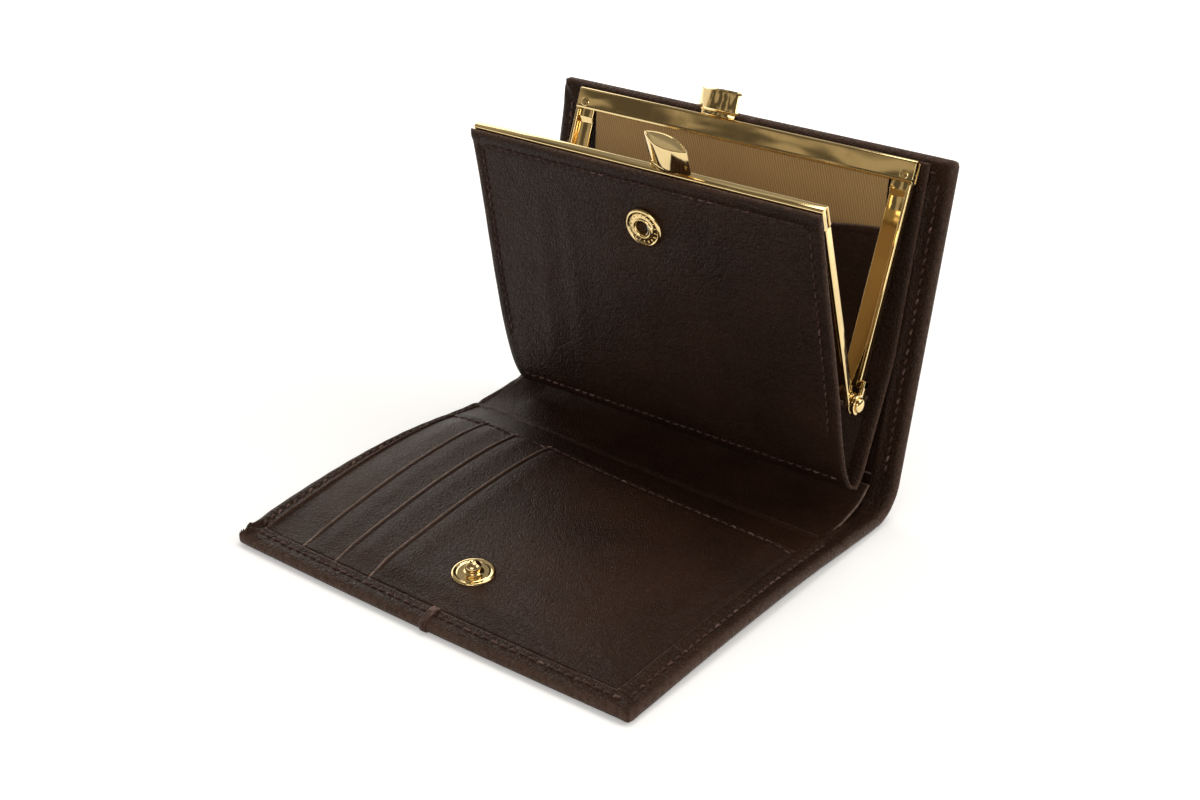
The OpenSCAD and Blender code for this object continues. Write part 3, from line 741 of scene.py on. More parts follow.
def grain_group():
    """Leather grain: small pebbles parted by fine creases, over soft hollows."""
    n, place, given, out = new_group("Leather grain",
                                     (("Cells", "Float", 1500.0), ("Pebble", "Float", 0.6),
                                      ("Hollows", "Float", 0.5)),
                                     (("Height", "Float"), ("Crease", "Float")))
    drift = n.add("TexNoise", {"Vector": place, "Scale": 700.0, "Detail": 2.0}).outputs["Color"]
    bent = n.add("VectorMath", {0: drift, 3: 0.0009}, operation="SCALE").outputs[0]
    moved = n.add("VectorMath", {0: place, 1: bent}, operation="ADD").outputs[0]
    cells = n.add("TexVoronoi", {"Vector": moved, "Scale": given["Cells"]},
                  feature="DISTANCE_TO_EDGE").outputs[0]
    wide = n.times(given["Cells"], 0.42)
    patches = n.add("TexVoronoi", {"Vector": moved, "Scale": wide},
                    feature="DISTANCE_TO_EDGE").outputs[0]
    pebble = n.range(cells, 0.0, 0.22)
    patch = n.range(patches, 0.0, 0.16)
    fine = n.noise(place, 5200.0, 2.0)
    soft = n.noise(place, 130.0, 3.0)
    fold = n.noise(place, 420.0, 4.0, 0.6)
    tops = n.plus(n.times(pebble, 0.6), n.times(patch, 0.4))
    height = n.times(tops, given["Pebble"])
    height = n.plus(height, n.times(fine, 0.14))
    height = n.plus(height, n.times(n.plus(n.times(soft, 2.2), fold), given["Hollows"]))
    n.tree.links.new(height, out["Height"])
    n.tree.links.new(n.minus(1.0, tops), out["Crease"])
    return n.tree


def tone_group():
    """Leather tone: cloudy dye, painted shade in the grain's creases, and a lighter edge colour that is partly edge
    wear and partly a painted highlight.
    """
    n, place, given, out = new_group("Leather tone",
                                     (("Dye", "Color"), ("Rubbed", "Color"), ("Crease", "Float"),
                                      ("Gloss", "Float", 0.45)),
                                     (("Color", "Color"), ("Roughness", "Float")))
    edge = n.add("Attribute", attribute_name="edge").outputs["Fac"]
    cloud = n.noise(place, 45.0, 4.0)
    speck = n.noise(place, 900.0, 3.0)
    dark = n.mix(0.35, given["Dye"], (0.0, 0.0, 0.0, 1.0))
    tone = n.mix(n.range(cloud, 0.3, 0.7), dark, given["Dye"])
    # Painted shade: the grain's creases are darkened towards near black
    crease_shaded = n.mix(n.times(given["Crease"], 0.4), tone, (0.004, 0.0025, 0.002, 1.0))
    # Lighter colour along edges and masked lines: partly edge wear, partly a painted highlight
    rub_and_highlight = n.times(edge, n.range(speck, 0.25, 0.7, 0.35, 1.0), clamp=True)
    n.tree.links.new(n.mix(rub_and_highlight, crease_shaded, given["Rubbed"]), out["Color"])
    rough = n.plus(given["Gloss"], n.times(n.minus(cloud, 0.5), 0.22))
    rough = n.plus(rough, n.times(given["Crease"], 0.14))
    n.tree.links.new(n.minus(rough, n.times(rub_and_highlight, 0.06)), out["Roughness"])
    return n.tree


def weave_group():
    """Twill: slanting ribs, each of short floats of thread."""
    n, place, given, out = new_group("Twill weave",
                                     (("Rib", "Float", 0.0007), ("Slant", "Float", 0.3)),
                                     (("Height", "Float"), ("Shade", "Float")))
    parts = n.add("SeparateXYZ", {0: place}).outputs
    wander = n.times(n.minus(n.noise(place, 260.0, 2.0), 0.5), 0.0003)
    across = n.plus(n.plus(parts["X"], n.times(parts["Z"], given["Slant"])), wander)
    rib = n.math("SINE", n.times(n.math("DIVIDE", across, given["Rib"]), 2 * pi))
    float_l = 0.0004
    slope = n.plus(parts["Z"], n.times(parts["X"], 0.6))
    floats = n.math("SINE", n.times(slope, 2 * pi / float_l))
    yarn = n.noise(place, 3800.0, 2.0)
    ribbed = n.range(rib, -0.8, 0.9)
    height = n.plus(n.times(ribbed, 0.7), n.times(floats, 0.13))
    height = n.plus(height, n.times(yarn, 0.3))
    n.tree.links.new(height, out["Height"])
    shade = n.plus(n.times(ribbed, 0.6), n.times(yarn, 0.5), clamp=True)
    n.tree.links.new(shade, out["Shade"])
    return n.tree


def smear_group():
    """Polished plating: faint waves and a few finger smears."""
    n, place, given, out = new_group(
        "Plating smear", (("Waves", "Float", 1.0), ("Polish", "Float", 0.08)),
        (("Height", "Float"), ("Roughness", "Float"), ("Tarnish", "Float")))
    stretched = n.add("VectorMath", {0: place, 1: (0.45, 1.0, 1.0)},
                      operation="MULTIPLY").outputs[0]
    wave = n.noise(stretched, 160.0, 1.0)
    haze = n.noise(place, 90.0, 5.0, 0.7)
    n.tree.links.new(n.times(wave, given["Waves"]), out["Height"])
    hazed = n.range(haze, 0.42, 0.75)
    n.tree.links.new(n.plus(given["Polish"], n.times(hazed, 0.1)), out["Roughness"])
    n.tree.links.new(hazed, out["Tarnish"])
    return n.tree


def new_material(name, **shader_values):
    """A material with one Principled shader, whose plain numbers are set on its sockets."""
    material = bpy.data.materials.new(name)
    material.use_nodes = True
    shader = material.node_tree.nodes["Principled BSDF"]
    for key, value in shader_values.items():
        shader.inputs[key.replace("_", " ")].default_value = value
    return material, Nodes(material.node_tree), shader


def leather_material(name, groups, dye, rubbed, cells, pebble, gloss, depth):
    material, n, shader = new_material(name, Specular_IOR_Level=0.16)
    grain = n.group(groups["grain"], {"Cells": cells, "Pebble": pebble, "Hollows": 0.7})
    tone = n.group(groups["tone"], {"Dye": dye, "Rubbed": rubbed, "Crease": grain["Crease"],
                                    "Gloss": gloss})
    n.dress(shader, tone["Color"], tone["Roughness"], grain["Height"], depth)
    return material


def thread_material(colour, worn):
    material, n, shader = new_material("Sewing thread", Specular_IOR_Level=0.2, Sheen_Weight=0.05)
    place = n.object_place()
    twist = n.add("TexWave", {"Vector": place, "Scale": 900.0, "Distortion": 1.5, "Detail": 1.0},
                  bands_direction="DIAGONAL").outputs[1]
    mottle = n.range(n.noise(place, 300.0, 2.0), 0.5, 0.66)
    pale = n.mix(0.6, colour, worn)
    n.dress(shader, n.mix(mottle, colour, pale), n.range(twist, 0, 1, 0.45, 0.7), twist, 0.00005,
            0.8)
    return material


def twill_material(colour, shade, stain, groups):
    material, n, shader = new_material("Twill lining", Specular_IOR_Level=0.25, Sheen_Weight=0.3,
                                       Sheen_Roughness=0.4)
    weave = n.group(groups["weave"])
    woven = n.mix(weave["Shade"], n.mix(0.58, colour, shade), colour)
    cloud = n.range(n.noise(n.object_place(), 60.0), 0.35, 0.7, 0.0, 0.35)
    n.dress(shader, n.mix(cloud, woven, n.mix(0.22, colour, stain)),
            n.range(weave["Shade"], 0, 1, 0.86, 0.62), weave["Height"], 0.00014, 0.9)
    return material


def metal_material(name, groups, colour, dull, polish, waves):
    material, n, shader = new_material(name, Metallic=1.0)
    smear = n.group(groups["smear"], {"Waves": waves, "Polish": polish})
    n.dress(shader, n.mix(n.times(smear["Tarnish"], 0.4), colour, dull), smear["Roughness"],
            smear["Height"], 0.00012)
    return material


def board_material(colour, fleck):
    material, n, shader = new_material("Fibre board", Specular_IOR_Level=0.2)
    fibre = n.noise(n.object_place(), 1200.0, 5.0, 0.7)
    n.dress(shader, n.mix(fibre, colour, fleck), n.range(fibre, 0, 1, 0.7, 0.95), fibre, 0.0001,
            0.6)
    return material


def make_materials():
    """All the finishes, from the colours in the settings."""
    look = bpy.context.scene.wallet.finish
    dye = {key: (*getattr(look, key)[:3], 1.0) for key, kind in look.bl_rna.properties.items()
           if kind.type == "FLOAT" and kind.is_array}
    groups = {"grain": grain_group(), "tone": tone_group(), "weave": weave_group(),
              "smear": smear_group()}
    MATERIALS["outer"] = leather_material("Outer leather", groups, dye["outer"], dye["rubbed"],
                                          cells=1150.0, pebble=0.8, gloss=0.35, depth=look.grain)
    MATERIALS["inner"] = leather_material("Inner leather", groups, dye["inner"],
                                          dye["rubbed_inner"], cells=1500.0, pebble=0.65,
                                          gloss=0.34, depth=look.grain * 0.7)
    MATERIALS["thread"] = thread_material(dye["thread"], dye["thread_worn"])
    MATERIALS["twill"] = twill_material(dye["twill"], dye["twill_shade"], dye["twill_stain"],
                                        groups)
    MATERIALS["gold"] = metal_material("Gilt metal", groups, dye["gold"], dye["gold_dull"],
                                       polish=0.06, waves=1.0)
    MATERIALS["steel"] = metal_material("Spring wire", groups, dye["steel"], dye["steel_dull"],
                                        polish=0.2, waves=0.3)
    MATERIALS["board"] = board_material(dye["board"], dye["board_fleck"])


# Flap

border_seams = (
    Seam((-half_w + 4.6, 3.6), (half_w - 4.6, 3.6), slant=0.3),
    Seam((-half_w + 3.5, 5.6), (-half_w + 3.5, flap_l - 3.4), slant=0.3, depth=0.36),
    Seam((half_w - 3.7, 5.6), (half_w - 3.7, flap_l - 3.4), slant=-0.22, depth=0.36),
)
card_seam = Seam((card_left + 1.0, card_t1 - 1.7), (card_right - 0.5, card_t1 - 1.7), depth=0.24)


def from_edge(x, t):
    """Distance from the nearest of the flap's three turned edges."""
    return np.minimum(np.minimum(x + half_w, half_w - x), t)


def past_border(x, t):
    """Distance inwards from the inner line of the flap's turned border."""
    return np.minimum(np.minimum(x + half_w - left_w, half_w - edge_w - x), t - fore_w)


def corner_pleats(x, t):
    """Small gathers where the turned edge is folded round the left front corner."""
    off = np.hypot(x + half_w - 1.5, t - 1.5)
    angle = np.arctan2(t + 0.5, x + half_w + 0.5)
    gather = np.sin(angle * 9 + 0.6 + 0.4 * off) * 0.5 + np.sin(angle * 16 + 1.9) * 0.25
    fold = (1.1 * bump_at(x, 1.3 - half_w, 0.9) * bump_at(t, 3.3, 0.8)
            - 0.8 * bump_at(x, 1.5 - half_w, 1.4) * bump_at(t, 1.9, 0.55))
    other = 0.35 * np.sin(np.arctan2(t + 0.5, half_w + 0.5 - x) * 8 + 0.5 * t)
    other = other * bump_at(np.hypot(half_w - 2 - x, t - 2), 0, 4.2)
    return gather * bump_at(off, 0, 5.6) + 0.5 * bump_at(off, 0, 3.4) + fold + other


def flap_top(x, t):
    """Upper face of the flap's outer leather: the turned edge stands above the middle."""
    edge = from_edge(x, t)
    inside = past_border(x, t)
    puff = 0.28 * bump_at(edge, 1.9, 1.7) + 0.1 * bump_at(inside, -0.5, 0.35)
    wave = 0.07 * np.sin(x * 0.9 + t * 0.55) * np.sin(t * 0.41 - x * 0.23)
    cord = 0.1 * np.sin(t * 2.1) * bump_at(edge, 5.4, 1.2)
    ridge = smooth(x - 40) * (0.34 * bump_at(edge, 5.7, 1.0) + cord)
    high = edge_t + puff + wave + ridge + corner_pleats(x, t)
    tack = 0.3 * bump_at(x, tack_x, 1.2) * smooth((6.4 - t) / 1.6)
    high = high + tack * (1 + 0.5 * np.sin(x * 7 + t * 4)) - dips(border_seams, x, t)
    crease = 0.5 * bump_at(t, flap_l, 1.1)
    return cover_t + (high - cover_t - crease) * (1 - smooth((inside + 0.22) / 0.3))


def flap_paler(x, t):
    """The border's cut inner edge, painted paler: partly edge wear, partly a painted highlight along the line."""
    return 0.9 * bump_at(past_border(x, t), -0.25, 0.22) * smooth((flap_l - 2 - t) / 4)


def flap_under(x, t):
    return 0.22 * bump_at(t, flap_l, 1.0) + np.zeros_like(x)


def build_cover():
    near = np.array((-0.9, -0.6, -0.4, -0.25, -0.15, -0.05, 0.1, 0.3))
    across = (-half_w, half_w, 0.6, (*(left_w - half_w + near), *(half_w - edge_w - near)))
    front = sheet("cover_leather_front", across, (0, spine_mid, 0.6, fore_w + near), cover_place,
                  flap_top, flap_under, (cover_rim, cover_rim, cover_rim, 0), "outer",
                  corners=(plan_r, 0), worn=flap_paler)
    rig.replaces(front, "flap_cover", "spine_cover")
    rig.blend(front, "flap", "spine", **over(crease1_y, crease1_bend, crease1_bend))

    back = sheet("cover_leather_back", across, (spine_mid, cover_end, 0.6), cover_place, back_top,
                 back_under, (cover_rim, cover_rim, 0, top_rim), "outer", corners=(0, plan_r))
    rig.replaces(back, "back_cover")
    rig.blend(back, "spine", "back", **over(crease2_y, crease2_bend, crease2_bend))

    thread = sew("cover_stitches_flap", border_seams, cover_place, raised(flap_top, thread_up))
    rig.ride(thread, "flap")
    thread = sew("cover_stitches_back", back_seams, cover_place, raised(back_top, thread_up))
    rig.ride(thread, "back")
    build_bar_tack()


def build_bar_tack():
    """Three close wraps of thread round the front edge, where the border's two lengths meet."""
    line = Path(((5.6, 3.15), (3.0, 3.35), (1.0, 3.2), (0.1, 2.5), (-0.1, 1.4), (0.1, 0.6),
                 (0.9, 0.15)), soften=0.5)
    rows, sides, thick = 44, 8, 0.33
    turn = np.arange(sides) * 2 * pi / sides
    points, faces = [], []
    for k in range(3):
        for j, s in enumerate(np.linspace(0, line.length, rows)):
            t, h = line.at(s, thick * np.cos(turn) * (0.4 + 0.6 * sin(pi * j / (rows - 1)) ** 0.4))
            x = tack_x + (k - 1) * 0.62 + 0.05 * sin(s * 5 + k) + thick * np.sin(turn)
            at = cover_place(x, np.maximum(t, 0), h)
            at[:, 1] += np.minimum(t, 0)
            points.append(at)
        faces += tube_faces(rows, sides, k * rows * sides)
    tack = add_mesh("bar_tack_front", np.concatenate(points), faces, "thread")
    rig.ride(tack, "flap")


# Back panel

back_seams = (
    Seam((-half_w + 4.6, cover_end - 3.6), (half_w - 4.6, cover_end - 3.6), slant=0.1),
    Seam((-half_w + 3.6, panel_t + 2), (-half_w + 3.6, cover_end - 5.8), slant=0.2),
    Seam((half_w - 3.6, panel_t + 2), (half_w - 3.6, cover_end - 5.8), slant=-0.2),
)


def back_top(x, t):
    """Inner face of the curve's and the back panel's outer leather, with its turned edge."""
    edge = np.minimum(np.minimum(x + half_w, half_w - x), cover_end - t)
    puff = 0.24 * bump_at(edge, 1.8, 1.6)
    up = smooth((t - panel_t + 6) / 14)
    ridges = 0.16 * np.sin(edge * 2.3 + 0.9 * np.sin(t * 0.13)) * smooth((edge - 2.2) / 1.5) * up
    pleat = 0.4 * bump_at(np.hypot(x + half_w - 1.8, cover_end - t - 1.8), 0, 4.2)
    off = np.arctan2(cover_end - t + 0.5, x + half_w + 0.5)
    pleat = pleat * (1 + 0.9 * np.sin(off * 10))
    gather = 0.15 * np.sin(t * 1.1) * bump_at(t, curve_t + 7, 6) * smooth((7 - edge) / 3)
    other = 0.35 * bump_at(np.hypot(half_w - 1.6 - x, cover_end - t - 1.6), 0, 3.2)
    pleat = pleat + other * (1 + 0.8 * np.sin(np.arctan2(cover_end - t + 0.5, half_w + 0.5 - x)
                                              * 8))
    tack = 0.5 * bump_at(x, 2.2, 1.6) * smooth((6 - (cover_end - t)) / 2)
    high = edge_t + puff + ridges + pleat + gather + tack - dips(back_seams, x, t)
    flush = smooth((spine_mid + 1.2 - t) / 1.2)
    high = high * (1 - flush) + flap_top(x, np.minimum(t, spine_mid)) * flush
    low_inside = cover_t + (high - cover_t) * (1 - smooth((edge - edge_w + 0.2) / 0.5))
    return np.where(flush >= 1, flap_top(x, np.minimum(t, spine_mid)), low_inside)


def back_under(x, t):
    return 0.2 * bump_at(t, curve_t, 1.2) + np.zeros_like(x)


# Card side

def press(x, t):
    """0 where the card panels run under the turned border and 1 away from it."""
    return smooth(np.minimum(t - card_t0 - 0.3, card_right - 0.3 - x) / 7.0)


def card_face(level, mouth):
    """Upper face of a card panel over its neighbour, with a folded mouth on its left."""
    def face(x, t):
        from_mouth = x - mouth
        fold = 0.2 * bump_at(from_mouth, 0.4, 0.5)
        crease = -0.2 * bump_at(from_mouth, 1.35, 0.32)
        swell = 0.24 * bump_at(from_mouth, 4.6, 2.6)
        flat = level + (fold + crease + swell) * smooth((card_t1 - t) / 2)
        flat = flat - 0.42 * (1 - smooth((card_t1 - t) / 3.2)) * smooth((level - 2.2) / 1.2)
        low = 2.4 + 0.2 * (level - 2.35)
        rise = 0.35 * bump_at(card_t1 - t, 0.7, 0.8)
        groove = 0.3 * bump_at(past_border(x, t), 0.18, 0.2)
        return low + (flat - low) * press(x, t) + rise - groove - dips((card_seam,), x, t)
    return face


def build_card_side():
    names = ("card_base", "card_panel_1", "card_panel_2", "pocket_panel")
    starts = (card_left + 0.1, *mouths)
    faces = [card_face(level, mouth) for level, mouth in zip(card_levels, (no_mouth, *mouths))]
    step_in = np.array((0.0, 0.12, 0.24, 0.36, 0.5))
    for k, (name, start, face) in enumerate(zip(names, starts, faces)):
        rim = 0.45 if k else 0.3
        fold = start + np.array((0.9, 1.04, 1.17, 1.3, 1.43, 1.56, 1.7))
        if k < len(names) - 1:
            shown = starts[k + 1] + 2.5
            dense = stations(start, shown, 0.42, rim, 0, fold)
            rest = stations(shown, card_right, 2.0, 0, 0.5)
        else:
            dense = stations(start, card_right, 0.6, rim, 0, fold)
            rest = stations(card_right - 2, card_right, 0.5, 0, 0.5)
        xs = np.unique(np.concatenate((dense[dense < rest[0]], rest, half_w - edge_w - step_in)))

        def under(x, t, k=k):
            return faces[k - 1](x, t) + 0.03 if k else np.full_like(x, card_under)

        # Painted highlight: a pale line on the top face just beside each mouth's fold
        def worn(x, t, k=k, start=start):
            return 1.1 * bump_at(x - start, 0.28, 0.24) if k else 0 * x

        panel = sheet(name + "_leather", xs, (card_t0, card_t1, 0.6, fore_w + step_in), cover_place,
                      face, under, (rim, 0.5, 0.35, 0.5), "inner", worn=worn)
        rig.replaces(panel, name)
        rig.ride(panel, "flap")

    def strip_top(x, t):
        lip = 0.42 * bump_at(strip_t1 - t, 0.9, 0.75)
        return 2.5 + lip + 0.05 * np.sin(x * 0.21 + 1) - 0.12 * bump_at(strip_t1 - t, 2.4, 0.5)

    # Painted highlight along the strip's lip
    def strip_lip_highlight(x, t):
        return 0.55 * bump_at(strip_t1 - t, 0.3, 0.4)

    strip = sheet("hinge_strip_leather", (card_left + 0.1, card_right, 1.0),
                  (card_t1 + 0.1, strip_t1, 0.45), cover_place, strip_top, even(card_under),
                  (0.4, 0.4, 0.2, 0.5), "inner", worn=strip_lip_highlight)
    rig.replaces(strip, "hinge_strip")
    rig.blend(strip, "flap", "spine", **over(crease1_y, crease1_bend, crease1_bend))

    def pocket_or_base(x, t):
        top = faces[0](x, t)
        for mouth, face in zip(mouths, faces[1:]):
            top = np.where(x > mouth, face(x, t), top)
        return top + 0.15

    thread = sew("card_stitches", (card_seam,), cover_place, pocket_or_base, thick=0.2)
    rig.ride(thread, "flap")


# Spine

FLOOR = Path(((crease1_y - 1.0, 2.0), (crease1_y + 2, 2.3), (crease1_y + 7, 3.1),
              (crease1_y + 12, 4.2), (crease2_y + 1.5, 6.0), (crease2_y + 4.4, 9.0)), soften=2.2)


def sheet_place(path, on_cover=False):
    """Places a sheet along a path across X, on the cover's own arch where it lies on it."""
    def place(x, s, h):
        y, z = path.at(s, h)
        if on_cover:
            t = np.clip(y - front_y, 0, 120)
            x, z = x - drawn_left(x, t), z + lift(x, t)
        return spots(x, y, z)
    return place


def build_spine():
    half = half_w - 5.4
    join_s = 8.0
    for name, s0, s1, rims in (("floor_leather_front", 0, join_s, (0.5, 0.5, 0.5, 0)),
                               ("floor_leather_rear", join_s, FLOOR.length, (0.5, 0.5, 0, 0.4))):
        floor = sheet(name, (-half, half, 0.8), (s0, s1, 0.5), sheet_place(FLOOR, True),
                      lambda x, t: 0.05 * np.sin(x * 0.33) * np.sin(t * 0.9) + 0.45, even(-0.4),
                      rims, "inner")
        if s0:
            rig.replaces(floor, "floor_leather")
            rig.blend(floor, "spine", "back", **over(crease2_y, 5, 3))
        else:
            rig.slot(floor, "inner_leather")
            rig.blend(floor, "flap", "spine", **over(crease1_y, crease1_bend, crease1_bend))

    turn = np.linspace(radians(38), radians(79), 14)
    r = curve_r - edge_t - 0.15
    divider_line = Path([(crease2_y + r * sin(a), curve_r - r * cos(a)) for a in turn])
    divider = sheet("bill_divider_sheet", (4.0 - half, half - 4.0, 1.0),
                    (0, divider_line.length, 0.5), sheet_place(divider_line), even(0.6), even(0.0),
                    (0.4, 0.4, 0.3, 0.35), "inner")
    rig.replaces(divider, "bill_divider")
    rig.ride(divider, "back")

    lining_line = Path((on_back(1.65, 0.5), on_back(1.65, back_h - edge_w - 0.3)))
    lining = sheet("bill_lining_sheet", (card_left + 0.1, card_right - 0.1, 1.2),
                   (0, lining_line.length, 1.2), sheet_place(lining_line),
                   lambda x, t: 0.5 + 0.05 * np.sin(x * 0.12 + t * 0.1), even(0.0),
                   (0.3, 0.3, 0.3, 0.3), "inner")
    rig.replaces(lining, "bill_lining")
    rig.ride(lining, "back")


# Purse

FRONT = Path((fold_low, (54.2, 11.3), in_front(*front_heel), in_front(*front_toe),
              in_front(*front_hip), in_front(*front_top)), soften=3.0)
REAR = Path((fold_low, (60.0, 11.5), on_back(wall_gap, wall_bend), on_back(wall_gap, wall_top)),
            soften=1.6)

front_seams = (Seam((-purse_half + 5.6, FRONT.length - 3.6), (purse_half - 4.6, FRONT.length - 3.6),
                    depth=0.34),
               Seam((purse_half - 3.4, 22), (purse_half - 3.4, FRONT.length - 4.6), slant=-0.1,
                    depth=0.3),
               Seam((-purse_half + 3.0, 22), (-purse_half + 3.0, FRONT.length - 4.6), slant=0.1,
                    depth=0.34), )
foot_seam = Seam((-purse_half + 2.6, 7.0), (purse_half - 2.6, 7.0), depth=0.22)


def front_wall_place(x, s, h):
    """Place on the front wall's outer face, which narrows towards the bar."""
    share = front_half_top / purse_half
    narrow = 1 + (share - 1) * smooth((s - 24) / (FRONT.length - 24))
    y, z = FRONT.at(s, h)
    return spots(x * narrow, y, z)


def front_wall_face(x, s):
    """Outer face of the front wall: a puffed hem, soft folds at its left and a slack middle."""
    down = FRONT.length - s
    hem = 0.42 * bump_at(down, 1.6, 1.2)
    fold = sum(depth * bump_at(x + 0.16 * (down - 30) * lean, at, wide) for at, wide, depth,
               lean in ((-32.5, 1.9, 0.14, 0.35), (-27.5, 1.8, -0.1, 0.3), (-23.2, 2.0, 0.12, 0.25),
                        (-18.8, 2.2, -0.06, 0.2)))
    fold = fold * smooth((down - 6) / 14) * smooth((s - 14) / 16)
    slack = 0.5 * np.cos(x / purse_half * pi / 2) * smooth((down - 8) / 20) * smooth((s - 8) / 20)
    ripple = 0.05 * np.sin(x * 0.5 + s * 0.21) * np.sin(s * 0.33 - x * 0.14)
    rim = 0.2 * bump_at(purse_half - np.abs(x), 1.6, 1.2)
    ring = np.hypot(x, s - SOCKET_S)
    dent = 0.4 * bump_at(ring, 0, 7.5)
    return hem + fold + slack + ripple + rim - dent - dips((*front_seams, foot_seam), x, s)


def socket_station():
    """How far up the front wall the socket's middle is."""
    y, z = in_front(5.6, socket_u)
    return FRONT.s[int(np.argmin(np.hypot(FRONT.p[:, 0] - y, FRONT.p[:, 1] - z)))]


SOCKET_S = socket_station()


def blend_front(piece):
    """The purse's front leather bends between its sewn foot and the hinge."""
    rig.blend(piece, "back", "purse_front", start=(0, 0.0535, 0.015), end=(0, 0.0475, 0.032))


def build_purse():
    front = sheet("purse_front_leather", (-purse_half, purse_half, 0.6), (0, FRONT.length, 0.6),
                  front_wall_place, front_wall_face, even(-front_wall_t), (1.0, 1.0, 0, 0.9),
                  "outer")
    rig.replaces(front, "purse_front_wall")
    blend_front(front)
    thread = sew("purse_front_stitches", (*front_seams, foot_seam), front_wall_place,
                 raised(front_wall_face, 0.15), thick=0.22)
    blend_front(thread)

    def rear_face(x, s):
        rim = 0.35 * bump_at(purse_half - np.abs(x), 1.4, 1.1)
        return 0.9 + rim + 0.04 * np.sin(s * 0.9)

    rear = sheet("purse_rear_leather", (-purse_half, purse_half, 0.8), (0, REAR.length, 0.7),
                 sheet_place(REAR), rear_face, even(0.0), (0.7, 0.7, 0, 0.5), "outer")
    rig.replaces(rear, "purse_shell")
    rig.ride(rear, "back")
    for side, word in HANDS:
        build_gusset(side, word)


def build_gusset(side, word):
    """A side gusset: a leaf between the walls, folded inwards and drooping along its middle."""
    height, fold_in, droop, thick = 21.0, 10.5, 4.5, 0.8
    rows, cols = 34, 26
    a, b = np.meshgrid(np.linspace(0, 1, rows), np.linspace(0, 1, cols), indexing="ij")
    s = 2.0 + a * height
    fy, fz = FRONT.at(s, -1.5)
    ry, rz = REAR.at(s, 1.3)
    y, z = fy + (ry - fy) * b, fz + (rz - fz) * b - droop * a**2 * np.sin(pi * b)
    inward = 1.6 + fold_in * a * np.sin(pi * b) ** 0.7
    x = side * (purse_half - 2.2 - inward + 0.7 * np.sin(b * 11 + a * 6) * a * np.sin(pi * b))
    outer = np.stack((x, y, z), -1).reshape(-1, 3)
    inner = np.stack((x - side * thick, y, z), -1).reshape(-1, 3)
    index = np.arange(rows * cols).reshape(rows, cols)
    faces = []
    for grid in (index, index + rows * cols):
        faces += quads(grid).tolist()
    ring = [*index[:, 0], *index[-1, 1:], *index[-2::-1, -1], *index[0, -2:0:-1]]
    for p, q in zip(ring, ring[1:] + ring[:1]):
        faces.append([int(p), int(q), int(q + rows * cols), int(p + rows * cols)])
    edge = np.tile((1 - smooth((1 - a.ravel()) * 14)) * 0.6, 2)
    leaf = add_mesh("gusset_leather_" + word, np.concatenate((outer, inner)), faces, "inner",
                    edge=edge)
    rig.replaces(leaf, "gusset_" + word)
    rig.blend(leaf, "back", "purse_front", start=(0, 0.0600, 0.0200), end=(0, 0.0420, 0.0330))


# Linings

def build_linings():
    rear_line = Path((REAR.at(4.0, 1.35), REAR.at(REAR.length * 0.33, 1.35),
                      on_back(wall_gap + 1.25, wall_bend + 3), on_back(wall_gap + 1.2, 58.0),
                      in_rear(0.95, arm_l - bar_h), in_rear(0.95, arm_l - 1.4)), soften=1.4)

    def wave(x, s):
        return 0.16 * np.sin(x * 0.16 + 0.4) * smooth((s - 30) / 15) * smooth((76 - s) / 12)

    rear = sheet("lining_rear_twill", (-lining_half, lining_half, 0.9), (0, rear_line.length, 0.7),
                 sheet_place(rear_line), raised(wave, 0.4), wave, (0.2, 0.2, 0.2, 0.2), "twill")
    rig.replaces(rear, "lining_rear")
    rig.ride(rear, "back")

    slip_line = Path((REAR.at(6.0, 1.95), REAR.at(REAR.length * 0.33, 1.95),
                      on_back(wall_gap + 1.9, wall_bend + 3),
                      on_back(wall_gap + 1.9, slip_top + 4)), soften=1.4)
    hem_s = slip_line.length - 4

    def slip_place(x, s, h):
        y, z = slip_line.at(s + 2.5 * smooth((np.abs(x) - 20) / 24) * (s / hem_s) ** 3, h)
        return spots(x, y, z)

    def slack(x, s):
        return 0.5 * np.cos(x / lining_half * pi / 2) * smooth((s - 12) / 12)

    def slip_face(x, s):
        roll = 0.2 * bump_at(hem_s - s, 0.8, 0.8) - 0.12 * bump_at(hem_s - s, 1.9, 0.3)
        return 0.75 + roll + slack(x, s)

    slip = sheet("slip_pocket_leather", (-lining_half, lining_half, 0.8),
                 (0, hem_s, 0.7, hem_s - np.array((1.6, 1.8, 2.0, 2.2))), slip_place, slip_face,
                 slack, (0.4, 0.4, 0.3, 0.55), "inner")
    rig.replaces(slip, "slip_pocket")
    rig.ride(slip, "back")

    front_line = Path((FRONT.at(30.0, -1.75), FRONT.at(FRONT.length - 16, -1.75),
                       in_front(1.3, arm_l - bar_h), in_front(1.3, arm_l - 1.6)), soften=1.2)
    front = sheet("lining_front_twill", (-lining_half, lining_half, 0.9),
                  (0, front_line.length, 0.7), sheet_place(front_line), even(0.2), even(-0.2),
                  (0.2, 0.2, 0.2, 0.2), "twill")
    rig.replaces(front, "lining_front")
    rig.ride(front, "purse_front")


# Frame

def block_outline(v0, v1, low, high, r):
    """A rounded oblong."""
    return rounded([(v0, low), (v0, high), (v1, high), (v1, low)], r)


def bar_outline():
    """Section of a bar: an inverted channel whose lips are rolled a little at their lower edge."""
    v0, v1 = bar_gap, bar_gap + bar_d
    low, high, wall, lip = arm_l - bar_h, arm_l, bar_wall, 0.16
    return rounded([(v0, high), (v0, low + lip_h), (v0 - lip, low + lip_h / 2), (v0, low),
                    (v0 + wall, low), (v0 + wall, high - wall), (v1 - wall, high - wall),
                    (v1 - wall, low), (v1, low), (v1 + lip, low + lip_h / 2), (v1, low + lip_h),
                    (v1, high)], (0.75, 0.2, 0.2, 0.15, 0.15, 0.3, 0.3, 0.15, 0.15, 0.2, 0.2, 0.75))


